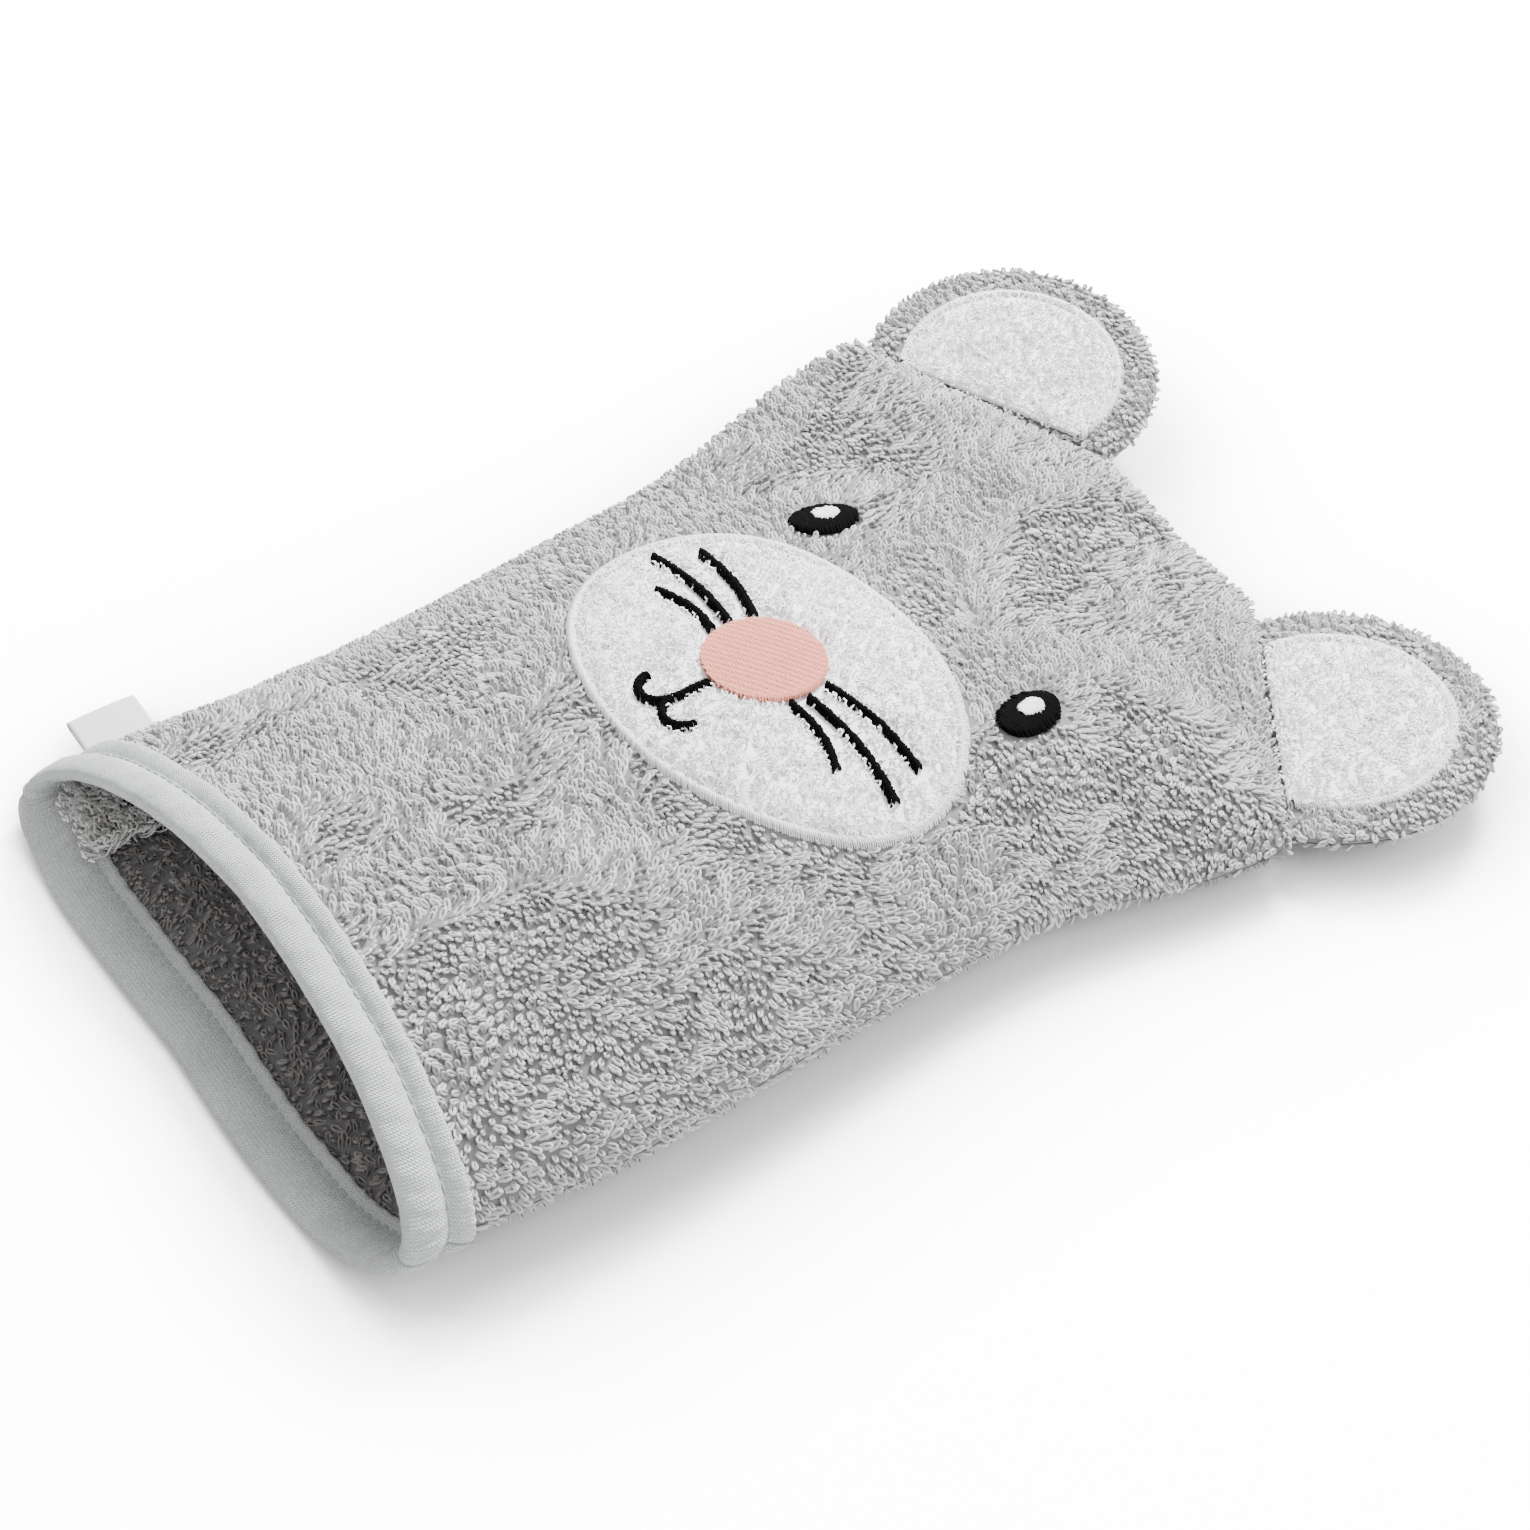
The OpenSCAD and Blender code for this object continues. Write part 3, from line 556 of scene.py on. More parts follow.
def stitched(name, lines, material, radius, sides=5):
    """One piece from many stitches, each a list of points in millimetres."""
    points, edges = [], []
    for line in lines:
        start = len(points)
        points.extend(np.asarray(line, float) * MM)
        edges.extend((start + i, start + i + 1) for i in range(len(line) - 1))
    mesh = bpy.data.meshes.new(name)
    mesh.from_pydata([tuple(p) for p in points], edges, [])
    obj = bpy.data.objects.new(name, mesh)
    bpy.context.scene.collection.objects.link(obj)
    return grown(obj, THREADS, material, Radius=radius * MM, Sides=sides)


def satin(path, width, pitch, rng, low, high, ragged=0.15, slant=0.5, closed=False):
    """Stitches across a path of (x, y) points, as (x, y, lift) with their middle raised."""
    path = np.asarray(path, float)
    if closed:
        path = np.vstack([path, path[:1]])
    length = np.concatenate([[0], np.cumsum(np.hypot(*np.diff(path, axis=0).T))])

    def at(s):
        return np.array([np.interp(s, length, path[:, 0]), np.interp(s, length, path[:, 1])])

    out = []
    for s in np.arange(pitch / 2, length[-1], pitch):
        p, q = at(s), at(s + 0.2)
        if s + 0.2 > length[-1]:
            q, p = p, at(s - 0.2)
        along = (q - p) / np.hypot(*(q - p))
        across = np.array([along[1], -along[0]])
        w = np.interp(s, length, width) if np.ndim(width) else width
        a, b = (w / 2 + rng.uniform(-ragged, ragged) for _ in range(2))
        top = high + rng.uniform(-0.06, 0.06)
        shoulder = top - 0.22 * (top - low)
        line = []
        for u, lift in ((-1, low), (-0.72, shoulder), (0, top), (0.72, shoulder), (1, low)):
            reach = u * (b if u > 0 else a)
            place = p + across * reach + along * slant * pitch * u
            line.append((place[0], place[1], lift))
        out.append(line)
    return out


def on_head(lines):
    """Move stitches given as (x, y, lift) onto the face."""
    return [on_face(*np.asarray(line, float).T) for line in lines]


print("thread tree", THREADS.name)

# %% [markdown]
# ## The ground cloth
# Under the loops lies the woven ground, about a millimetre thick. Each panel is one closed sheet, grown as
# a grid over the skin formula: a simulation would need pinned seams and a hand inside, and the formula
# keeps the seams exactly where the frame has them.

# %% Front and back panels
def closed(obj):
    """Turn every face of a closed mesh outwards."""
    bm = bmesh.new()
    bm.from_mesh(obj.data)
    bmesh.ops.recalc_face_normals(bm, faces=bm.faces)
    bm.to_mesh(obj.data)
    bm.free()
    return obj


def bend(obj):
    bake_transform(obj)


CLOTH_OUT, CLOTH_IN = -1.7, -2.6
turns = np.linspace(0, math.pi, 150)
rows = np.concatenate([np.arange(1.6, MITT_L - 8, 2.0), np.linspace(MITT_L - 8, MITT_L - 0.3, 9)])
T, Y = np.meshgrid(turns, rows)
# The panels' dark grey is painted shade for the gaps between the loops.
front_cloth = closed(slab("front_cloth", skin(T, Y, CLOTH_OUT, 1), skin(T, Y, CLOTH_IN, 1), ground_shade_grey,
                          flip=True))
back_cloth = closed(slab("back_cloth", skin(T, Y, CLOTH_OUT, -1), skin(T, Y, CLOTH_IN, -1), ground_shade_grey))
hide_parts("front_panel_sleeve", "front_panel_fold", "front_panel_head")
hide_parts("back_panel_sleeve", "back_panel_fold", "back_panel_head")
for cloth_panel in (front_cloth, back_cloth):
    bend(cloth_panel)
    area = sum(p.area for p in cloth_panel.data.polygons) / 2
    print(cloth_panel.name, "cloth area", round(area, 4), "m2")

# %% [markdown]
# ## Where the loops stand
# The loops grow from copies of the ground's own surface. A value on each vertex, the pile, is one where
# loops stand and falls to nothing under the muzzle, the eyes and the binding, so that the pile stops where
# something is sewn over it.

# %% Pile surfaces
MUZZLE_W, MUZZLE_L, BORDER_W = 102.0, 70.0, 2.2
EYE_GAP, EYE_Y, EYE_L, EYE_W, EYE_LEAN = 76.0, 173.0, 16.5, 11.0, math.radians(12)
BIND_OUT, BIND_IN = 13.0, 11.0


def inside_ellipse(x, y, cx, cy, width, length, lean=0.0):
    """Below 1 inside an ellipse leaned over by an angle."""
    u = (x - cx) * math.cos(lean) + (y - cy) * math.sin(lean)
    v = -(x - cx) * math.sin(lean) + (y - cy) * math.cos(lean)
    return np.hypot(u / (width / 2), v / (length / 2))


def bare(x, y):
    """1 where the face is sewn over the pile."""
    on = inside_ellipse(x, y, 0, FACE_Y, MUZZLE_W + 2 * BORDER_W + 0.6, MUZZLE_L + 2 * BORDER_W + 0.6) < 1
    for side in (-1, 1):
        on |= inside_ellipse(x, y, side * EYE_GAP / 2, EYE_Y, EYE_W + 1.8, EYE_L + 1.8, side * EYE_LEAN) < 1
    return on


def set_pile(obj, values):
    """Store where loops or fibres may stand, one value for each vertex."""
    obj.data.attributes.new("pile", "FLOAT", "POINT").data.foreach_set("value", values)


def pile_surface(name, y0, y1, d, layer, step=1.2, inward=False, mask=None, edge=0.03):
    """A sheet for loops to grow on, its faces towards the pile's side."""
    t = np.linspace(edge, math.pi - edge, int(220 / step))
    y = np.linspace(y0, y1, max(2, int((y1 - y0) / step)))
    tt, yy = np.meshgrid(t, y)
    p = skin(tt, yy, d, layer)
    obj = piece(name, p.reshape(-1, 3), grid_faces(*tt.shape, flip=(layer > 0) != inward), None)
    pile = np.ones(tt.size)
    if mask is not None:
        pile[mask(p[..., 0].ravel(), yy.ravel())] = 0
    set_pile(obj, pile)
    return obj


# %% Loops outside
FRONT_GAP, BACK_GAP, EAR_BACK_GAP = 0.00132, 0.00185, 0.0017
OUTSIDE = [("cuff", BIND_OUT - 0.6, 56.0), ("sleeve", 56.0, 96.0), ("cheek", 96.0, 150.0),
           ("brow", 150.0, 200.0), ("crown", 200.0, MITT_L - 0.4)]
for seed, (part, y0, y1) in enumerate(OUTSIDE):
    for name, layer, sides, bends, gap in (("front", 1, 4, 6, FRONT_GAP), ("back", -1, 3, 5, BACK_GAP)):
        loops = pile_surface(f"{name}_loops_{part}", y0, y1, CLOTH_OUT, layer,
                             mask=bare if layer > 0 else None)
        grown(loops, LOOPS, loop_grey, Spacing=gap, Height=0.0019, Width=0.00038, Radius=0.00034,
              Lean_Low=0.45, Lean_High=1.30, Sides=sides, Bends=bends, Seed=11 + seed)
        if y1 < 100:
            bend(loops)
        else:
            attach(loops, "head")

# %% Loops inside
# These loops wear the darker inside grey, which is painted shade.
for name, layer in (("roof", 1), ("floor", -1)):
    loops = pile_surface(f"inner_loops_{name}", BIND_IN - 0.4, 112.0, CLOTH_IN, layer, inward=True)
    grown(loops, LOOPS, inside_shade_grey, Spacing=0.00150, Height=0.0018, Width=0.00040, Radius=0.00036,
          Lean_Low=0.55, Lean_High=1.35, Sides=3, Bends=5, Seed=31)
    bend(loops)

# %% [markdown]
# ## The cuff binding
# A bias-cut cotton strip is folded over the raw edge and topstitched through all layers. Its section is
# drawn once as (distance from the edge, depth) pairs: a plump fold at the lip, a valley at the stitch line
# and a thin flange beyond it. The section is laid round the whole cuff, and low waves running on the bias
# pucker it between the stitches.

# %% Binding
STITCH_Y = 8.9
BINDING = [
    (13.2, -0.2), (13.4, 0.4), (12.9, 0.95), (11.8, 0.85), (10.4, 0.35), (9.5, -0.5), (8.95, -1.0),
    (8.4, -0.75), (7.7, -0.05), (6.4, 0.6), (4.4, 0.8), (2.6, 0.5), (1.2, -0.05), (0.3, -0.9), (0.0, -2.0),
    (0.25, -3.2), (1.1, -4.1), (2.6, -4.7), (4.6, -4.9), (6.4, -4.7), (7.8, -4.2), (8.5, -3.75),
    (8.9, -3.6), (9.3, -3.75), (10.0, -4.4), (10.9, -4.75), (11.5, -4.4), (11.5, -3.7), (11.0, -3.2),
    (8.9, -2.85), (5.0, -2.85), (1.6, -2.85), (1.3, -2.1), (1.6, -1.4), (5.0, -1.4), (8.9, -1.45), (12.0, -0.7)]


def round_cuff(profile, n, ripple=None):
    """Points of a section laid round the whole cuff, n places by the section's points."""
    turn = np.arange(n) / n * 2 * math.pi
    rows_out = []
    for y, d in profile:
        y_at, d_at = np.full(n, float(y)), np.full(n, float(d))
        if ripple:
            y_at, d_at = ripple(turn, y_at, d_at)
        top, low = turn < math.pi, turn >= math.pi
        p = np.empty((n, 3))
        p[top] = skin(turn[top], y_at[top], d_at[top], 1)
        p[low] = skin(2 * math.pi - turn[low], y_at[low], d_at[low], -1)
        for k in (0, n // 2):
            p[k, 2] = seam_z(p[k, 0], y_at[k])
        rows_out.append(p)
    return np.stack(rows_out, 1)


def pucker(turn, y, d):
    """Small waves on the bias, strongest on the plump fold, and soft dents of the whole lip."""
    s = turn * 58
    wave = (0.20 * np.sin(s * 0.8 + y * 0.5) + 0.16 * np.sin(s * 0.45 - y * 0.4 + 1.3)
            + 0.08 * np.sin(s * 1.9 + y * 1.1))
    soft = 0.35 * np.sin(turn * 7 + 0.5) + 0.25 * np.sin(turn * 13 + 2.0)
    plump = np.exp(-(((y - 4.5) / 3.5) ** 2)) + 0.5 * np.exp(-(((y - 12) / 1.6) ** 2))
    outward = np.where(d > -2.1, 1, -1)
    y = y + 0.35 * soft * np.where(y > 9, 1, 0.6) + 0.12 * np.sin(s * 1.4) * (y > 10)
    return y, d + outward * wave * plump


CUFF_N = 720
ring_points = round_cuff(BINDING, CUFF_N, pucker)
m = len(BINDING)
cuff_binding = closed(piece("binding", ring_points.reshape(-1, 3),
                            grid_faces(CUFF_N, m, loop_rows=True, loop_cols=True), binding_pale))
middle = ring_points.mean(1)
around = np.concatenate([[0], np.cumsum(np.linalg.norm(np.diff(middle, axis=0), axis=1))])
down = np.concatenate([[0], np.cumsum(np.hypot(*np.diff(np.array(BINDING), axis=0).T))])
add_uv(cuff_binding, np.stack(np.meshgrid(around, down, indexing="ij"), -1).reshape(-1, 2))
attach(cuff_binding, "sleeve")
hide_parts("cuff_binding")
print("binding", round(around[-1]), "mm round")

# %% Topstitching
stitch_lines = []
pitch, sewn = 2.9, 0.76
for depth, out in ((-0.86, 1), (-3.68, -1)):
    for k in range(int(around[-1] / pitch)):
        line = []
        for u in (0.0, 0.12, 0.5, 0.88, 1.0):
            turn = np.interp((k + u * sewn) * pitch, around, np.arange(CUFF_N) / CUFF_N * 2 * math.pi)
            sink = -0.35 if u in (0.0, 1.0) else (0.12 if u == 0.5 else 0.05)
            ty, td = pucker(np.array([turn]), np.array([STITCH_Y]), np.array([depth + out * sink]))
            layer = 1 if turn < math.pi else -1
            line.append(skin(turn if layer > 0 else 2 * math.pi - turn, ty[0], td[0], layer))
        stitch_lines.append(line)
# The thread's dark grey is painted shade of the stitch dents.
topstitch = stitched("topstitching", stitch_lines, topstitch_shade_thread, 0.26)
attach(topstitch, "sleeve")
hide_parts("cuff_topstitch")

# %% [markdown]
# ## Seam allowances
# Where the panels are sewn, their edges turn in as a narrow doubled strip. The strips are thin tapes
# between the panels, and the one on the left ends at the cuff in a tuft of cut loops.

# %% Seam strips
def strip(name, outer, inner, half, nodes):
    """A thin closed strip between two lines of (x, y) points at the seam's height."""
    grid = np.stack([outer + (inner - outer) * u for u in (0, 0.35, 0.7, 1)], 1)
    x, y = grid[..., 0], grid[..., 1]
    z = seam_z(x, y) + curl(x, y)
    flat = np.dstack([x, y + skew(x, y) - HALF_L])
    obj = closed(slab(name, np.dstack([flat, z + half]), np.dstack([flat, z - half]), ground_shade_grey))
    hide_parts(*nodes)
    return obj


SEAM_W = 7.0
for side, word in ((-1, "left"), (1, "right")):
    y = np.arange(BIND_OUT + 1, MITT_L - CORNER[side] - SEAM_W, 3.0)
    outer = np.stack([side * (half_w(y, side) - 1.9), y], 1)
    inner = np.stack([side * (half_w(y, side) - SEAM_W), y], 1)
    bend(strip(f"side_seam_{word}", outer, inner, 0.6, [f"side_seam_{word}_sleeve", f"side_seam_{word}_head"]))
corner = [np.array([side * (CROWN_W / 2 + (HEAD_W - CROWN_W) / 2 * u) + HEAD_SWAY, MITT_L - CORNER[side] * u])
          for side, us in ((1, np.linspace(1, 0, 12)), (-1, np.linspace(0, 1, 12))) for u in us]
outer = np.array(corner) * [1, 1] - [0, 1.9]
inner = outer * [0.97, 1] - [0, SEAM_W - 2]
crown_strip = strip("crown_seam_strip", outer, inner, 0.6, ["crown_seam"])
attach(crown_strip, "head")

# %% The tuft at the seam's end
tuft = pile_surface("seam_end_tuft", BIND_IN - 1, BIND_IN + 24, CLOTH_IN - 1.6, -1, step=1.0, inward=True)
tuft_points = np.array([v.co[:] for v in tuft.data.vertices]) / MM
near = (tuft_points[:, 0] < -CUFF_W / 2 + 25) & (tuft_points[:, 0] > -CUFF_W / 2 + 3)
tuft.data.attributes["pile"].data.foreach_set("value", near.astype(float))
grown(tuft, FIBRES, tuft_cream, Spacing=0.00075, Height=0.0052, Width=0.0026, Radius=0.00022,
      Lean_Low=0.4, Lean_High=1.1, Sides=4, Bends=5, Seed=77)
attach(tuft, "sleeve")

# %% [markdown]
# ## The side tag
# A short tape is folded in two and caught in the left seam. Its section is a long thin loop, drawn out
# along the seam, with a little sag and twist so that it reads as cloth.

# %% Tag
TAG_W, TAG_L, PLY = 16.0, 12.6, 0.42
tag_lo, tag_hi = (np.array(v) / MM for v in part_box("side_tag"))
root_x = tag_hi[0]
section = []
for u in np.linspace(0, 1, 15):
    section.append((-TAG_L * u + 1.6 * (1 - u), 0.62 - 0.25 * (1 - u) + 0.12 * math.sin(3 * u)))
for a in np.linspace(75, -75, 7):
    section.append((-TAG_L - 0.6 * math.cos(math.radians(a)) + 0.2, 0.62 * math.sin(math.radians(a))))
for u in np.linspace(1, 0, 15):
    section.append((-TAG_L * u + 1.6 * (1 - u), -0.62 + 0.25 * (1 - u)))
section = np.array(section)
normal = np.gradient(section, axis=0)
normal = np.stack([normal[:, 1], -normal[:, 0]], 1)
normal /= np.linalg.norm(normal, axis=1)[:, None]
tag_y = np.linspace(0, TAG_W, 20)


def tag_layer(push):
    line = section + normal * push
    x = np.repeat(line[None, :, 0], len(tag_y), 0)
    z = np.repeat(line[None, :, 1], len(tag_y), 0)
    far = np.clip(-x / TAG_L, 0, 1)
    yy = tag_y[:, None] + 0.5 * far * np.sin(tag_y[:, None] / 5)
    z = z + far * (0.5 * np.sin(tag_y[:, None] / TAG_W * 2.6) - 0.3)
    return np.dstack([root_x + x, yy + tag_lo[1] + 0.9, z + (tag_lo[2] + tag_hi[2]) / 2])


tag = closed(slab("tag", tag_layer(0.0), tag_layer(PLY), tag_white))
tag_uv = np.stack(np.meshgrid(tag_y, np.arange(len(section)) * 0.8, indexing="ij"), -1).reshape(-1, 2)
add_uv(tag, np.vstack([tag_uv, tag_uv]))
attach(tag, "side_tag")
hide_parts("side_tag")

# %% [markdown]
# ## Plush muzzle
# The muzzle is an oval of short-haired plush held down by a satin-stitched border. Its backing is a closed
# pad with soft lumps, and thousands of tapered fibres grow on it in a tree like the one for the loops.

# %% Round pads
def dome(t, power):
    """One at the middle, falling to nothing at the outline; a higher power is a flatter top."""
    return np.sqrt(np.clip(1 - t ** power, 0, 1))


def level_at(height):
    return lambda t, x, y: np.full_like(t, height)


def lumps(x, y, size):
    return (np.sin(x / size + 1.1) * np.sin(y / (size * 0.8) + 0.4)
            + 0.6 * np.sin((x + y) / (size * 0.57) + 2.0)
            + 0.5 * np.sin((x - 1.3 * y) / (size * 0.43)))


def round_pad(name, centre, reach, top, bottom, place, material, rings=24, segs=120):
    """A closed pad. reach(angle) is the distance from centre to its outline, top and bottom(t, x, y) are its
    heights with t from 0 at the centre to 1 at the outline, and place(x, y, z) puts a point in the row."""
    t, a = np.meshgrid(np.linspace(0, 1, rings + 1)[1:], np.arange(segs) / segs * 2 * math.pi, indexing="ij")
    x, y = centre[0] + t * reach(a) * np.cos(a), centre[1] + t * reach(a) * np.sin(a)
    points, faces, n = [], [], 1 + rings * segs
    for k, level in enumerate((top, bottom)):
        middle = place(np.array([centre[0]]), np.array([centre[1]]),
                       level(np.zeros(1), *np.array(centre)[:, None]))
        points += [middle.reshape(-1, 3), place(x, y, level(t, x, y)).reshape(-1, 3)]
        faces += [(k * n, k * n + 1 + i, k * n + 1 + (i + 1) % segs) for i in range(segs)]
        faces += grid_faces(rings, segs, loop_cols=True, start=k * n + 1)
    rim = 1 + (rings - 1) * segs
    faces += [(rim + i, rim + (i + 1) % segs, n + rim + (i + 1) % segs, n + rim + i) for i in range(segs)]
    return closed(piece(name, np.concatenate(points), faces, material)), points[:2]


def upper_skin(name, points, rings, segs, pile=1.0):
    """A surface for fibres or loops from a pad's upper points."""
    faces = [(0, 1 + i, 1 + (i + 1) % segs) for i in range(segs)]
    faces += grid_faces(rings, segs, loop_cols=True, start=1)
    obj = piece(name, np.concatenate(points), faces, None)
    set_pile(obj, np.broadcast_to(pile, len(obj.data.vertices)).astype(float).ravel())
    middle = obj.data.polygons[len(obj.data.polygons) // 2].normal
    if middle.z < 0:
        obj.data.flip_normals()
    return obj


def ellipse(width, length, lean=0.0):
    def reach(a):
        return 1 / np.hypot(np.cos(a - lean) / (width / 2), np.sin(a - lean) / (length / 2))
    return reach


# %% Lines of the face
NOSE_W, NOSE_L = 28.0, 26.5
WHISKERS = [(27, 28, 4), (4, 31.5, 0), (-14, 20, -2)]
FACE_LINES = {-1: [], 1: [], 0: []}
for side in (-1, 1):
    for turn_deg, reach, lift in WHISKERS:
        turn_rad = math.radians(turn_deg)
        root = np.array([1.08 * NOSE_W / 2 * math.cos(turn_rad),
                         FACE_Y + 1.08 * NOSE_L / 2 * math.sin(turn_rad)])
        u = np.linspace(0, 1, 40)
        path = root + np.outer(u, (reach, lift)) + np.stack([0 * u, 1.6 * np.sin(math.pi * u)], 1)
        FACE_LINES[side].append(path * [side, 1])
MOUTH_STEM, MOUTH_R = 9.0, 4.6
foot = FACE_Y - NOSE_L / 2 - 1.0 - MOUTH_STEM
arm_turn = np.radians(np.arange(180, 361, 5))
arm = np.stack([MOUTH_R * (1 + np.cos(arm_turn)), foot + MOUTH_R * np.sin(arm_turn)], 1)
FACE_LINES[0] = [np.linspace((0, foot + 0.6), (0, FACE_Y - NOSE_L / 2 - 0.6), 12), arm, arm * [-1, 1]]


def from_threads(x, y):
    """Distance of plan points from the nose, the whiskers and the mouth."""
    px, py = np.ravel(x), np.ravel(y)
    away = (inside_ellipse(px, py, 0, FACE_Y, NOSE_W, NOSE_L) - 1) * NOSE_L / 2
    for path in (p for paths in FACE_LINES.values() for p in paths):
        away = np.minimum(away, np.hypot(px[:, None] - path[:, 0], py[:, None] - path[:, 1]).min(1) - 0.8)
    return away.reshape(np.shape(x))


# %% Muzzle
HAIR = dict(Spacing=0.00085, Height=0.0019, Width=0.0016, Radius=0.00025, Lean_Low=0.4, Lean_High=1.3,
            Swirl=110.0, Sides=3, Bends=4)


def muzzle_top(t, x, y):
    free = np.clip((from_threads(x, y) - 1.0) / 3.0, 0, 1)
    clumps = 0.42 * lumps(x, y, 4.2) + 0.24 * lumps(y, x, 1.7)
    return -1.2 + (1.4 + (0.7 + clumps) * free) * dome(t, 8)


muzzle, skin_points = round_pad("muzzle", (0, FACE_Y), ellipse(MUZZLE_W, MUZZLE_L), muzzle_top,
                                level_at(-1.6), on_face, plush_ground, rings=44, segs=200)
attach(muzzle, "head")
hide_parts("muzzle_patch")
fibre_places = np.concatenate(skin_points)
clear = from_threads(fibre_places[:, 0], fibre_places[:, 1] + HALF_L) > 1.3
muzzle_fibres = upper_skin("muzzle_fibres", skin_points, 44, 200, pile=clear)
grown(muzzle_fibres, FIBRES, plush_white, **HAIR, Seed=5)
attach(muzzle_fibres, "head")

# %% [markdown]
# ## Embroidery
# The border, whiskers, mouth and eyes are satin stitch: threads laid side by side across the shape. The
# nose is fill stitch, whose rows break at regular places and leave rows of small pinholes. Real thread is
# a little ragged, so each end is moved by a small amount from a seeded generator.

# %% Muzzle border
BORDER_PITCH, BORDER_THREAD = 0.47, 0.19
rng = np.random.default_rng(8)
a = np.linspace(0, 2 * math.pi, 400, endpoint=False)
rim = np.stack([(MUZZLE_W + BORDER_W) / 2 * np.cos(a), FACE_Y + (MUZZLE_L + BORDER_W) / 2 * np.sin(a)], 1)
lines = satin(rim, BORDER_W, BORDER_PITCH, rng, -1.5, 0.2, closed=True, slant=1.4, ragged=0.25)
border = stitched("muzzle_satin", on_head(lines), thread_white, BORDER_THREAD, sides=4)
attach(border, "head")
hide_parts("muzzle_border")

# %% Nose
TOP = 1.0
# The pad under the stitches is painted shade for the pinholes.
nose_pad, _ = round_pad("nose_shade_pad", (0, FACE_Y), ellipse(NOSE_W - 0.6, NOSE_L - 0.6),
                        lambda t, x, y: TOP + 0.35 * dome(t, 6), level_at(TOP - 1.2), on_face,
                        nose_shade, rings=10, segs=64)
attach(nose_pad, "head")
fill = []
row_pitch, stitch_len = 0.52, 3.0
for i, v in enumerate(np.arange(-NOSE_L / 2 + 0.2, NOSE_L / 2, row_pitch)):
    half = NOSE_W / 2 * math.sqrt(max(0, 1 - (v / (NOSE_L / 2)) ** 2)) + rng.uniform(-0.15, 0.15)
    breaks = np.arange(-30, 30, stitch_len) + (i * stitch_len * 0.29) % stitch_len
    ends = [-half] + [c for c in breaks if -half + 0.5 < c < half - 0.5] + [half]
    for p, q in zip(ends, ends[1:]):
        crown = TOP + 0.75 + rng.uniform(-0.04, 0.04)
        heights = ((0, TOP - 0.1), (0.1, crown - 0.1), (0.5, crown), (0.9, crown - 0.1), (1, TOP - 0.1))
        fill.append([(p + (q - p) * u, FACE_Y + v, height) for u, height in heights])
nose = stitched("nose_fill", on_head(fill), nose_pink, 0.26)
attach(nose, "head")
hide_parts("nose")

# %% Whiskers and mouth
for side, name, node, wide in ((-1, "whiskers_satin_left", "whiskers_left", 1.9),
                               (1, "whiskers_satin_right", "whiskers_right", 1.9),
                               (0, "mouth_satin", "mouth", 1.8)):
    lines = []
    for path in FACE_LINES[side]:
        lines += satin(path, wide, 0.42, rng, TOP - 1.2, TOP + 1.0, ragged=0.28, slant=1.0)
    strokes = stitched(name, on_head(lines), thread_black, 0.23)
    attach(strokes, "head")
    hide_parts(node)

# %% Eyes
for side, word in ((-1, "left"), (1, "right")):
    lean, centre = side * EYE_LEAN, np.array([side * EYE_GAP / 2, EYE_Y])
    eye_pad, _ = round_pad(f"eye_ground_{word}", tuple(centre), ellipse(EYE_W - 1, EYE_L - 1, lean),
                           lambda t, x, y: -0.9 + 0.5 * dome(t, 6), level_at(-1.8), on_face,
                           thread_black, rings=6, segs=40)
    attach(eye_pad, "head")
    for name, slot, shift, wide, tall, high, finish in (
            ("eye", "black_thread", 0.0, EYE_W, EYE_L, 0.15, thread_black),
            ("eye_highlight", "white_thread", 1.0, 5.0, 6.6, 0.6, thread_white)):
        up = np.array([-math.sin(lean), math.cos(lean)])
        v = np.linspace(-tall / 2 + 0.15, tall / 2 - 0.15, 40)
        path = centre + [-0.6 * shift, shift] + np.outer(v, up)
        widths = wide * np.sqrt(np.clip(1 - (v / (tall / 2)) ** 2, 0.02, 1))
        lines = satin(path, widths, 0.40, rng, high - 1.2, high, ragged=0.35)
        thread = stitched(f"{name}_satin_{word}", on_head(lines), finish, 0.25)
        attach(thread, "head")
        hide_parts(f"{name}_{word}")

# %% [markdown]
# ## Ears
# Each ear is two layers of terry sewn back to back round their curve, with a half moon of plush on the
# front one, and its straight base is caught in the slanted corner seam. The layers are drawn flat about
# the base line and then carried to the corner.

# %% Ear frame
EAR_R, EAR_UP, RIM = 37.5, 8.0, 12.0
LIFT = {-1: math.radians(9), 1: math.radians(6)}
LEVEL = {-1: math.radians(4), 1: 0.0}
SLIDE = {-1: 4.0, 1: 0.0}


def ear_frame(side):
    """The corner's matrix: columns along the base, outwards and up, and the base's middle."""
    run, high = (HEAD_W - CROWN_W) / 2, CORNER[side]
    ends = [curl(side * (CROWN_W / 2 + run * u) + HEAD_SWAY, MITT_L - high * u) for u in (0, 1)]
    tilt = math.atan((ends[1] - ends[0]) / math.hypot(run, high)) - LEVEL[side]
    turn_z = -math.atan2(high, run)
    mat = Matrix.Rotation(turn_z, 4, "Z") @ Matrix.Rotation(-tilt, 4, "Y")
    mat = mat @ Matrix.Translation((-SLIDE[side], 4, 0)) @ Matrix.Rotation(LIFT[side], 4, "X")
    x, y = (HEAD_W + CROWN_W) / 4 + side * HEAD_SWAY, MITT_L - high / 2
    middle = Vector((x, y - HALF_L, float(seam_z(side * x, y)) + float(sum(ends)) / 2))
    return np.array(Matrix.Translation(middle) @ mat)


def ear_place(side):
    mat = ear_frame(side)

    def place(x, y, z):
        x, y, z = np.broadcast_arrays(x, y, z)
        p = np.stack([x, y, z, np.ones_like(x)], -1) @ mat.T
        p[..., 0] *= side
        return p[..., :3]
    return place


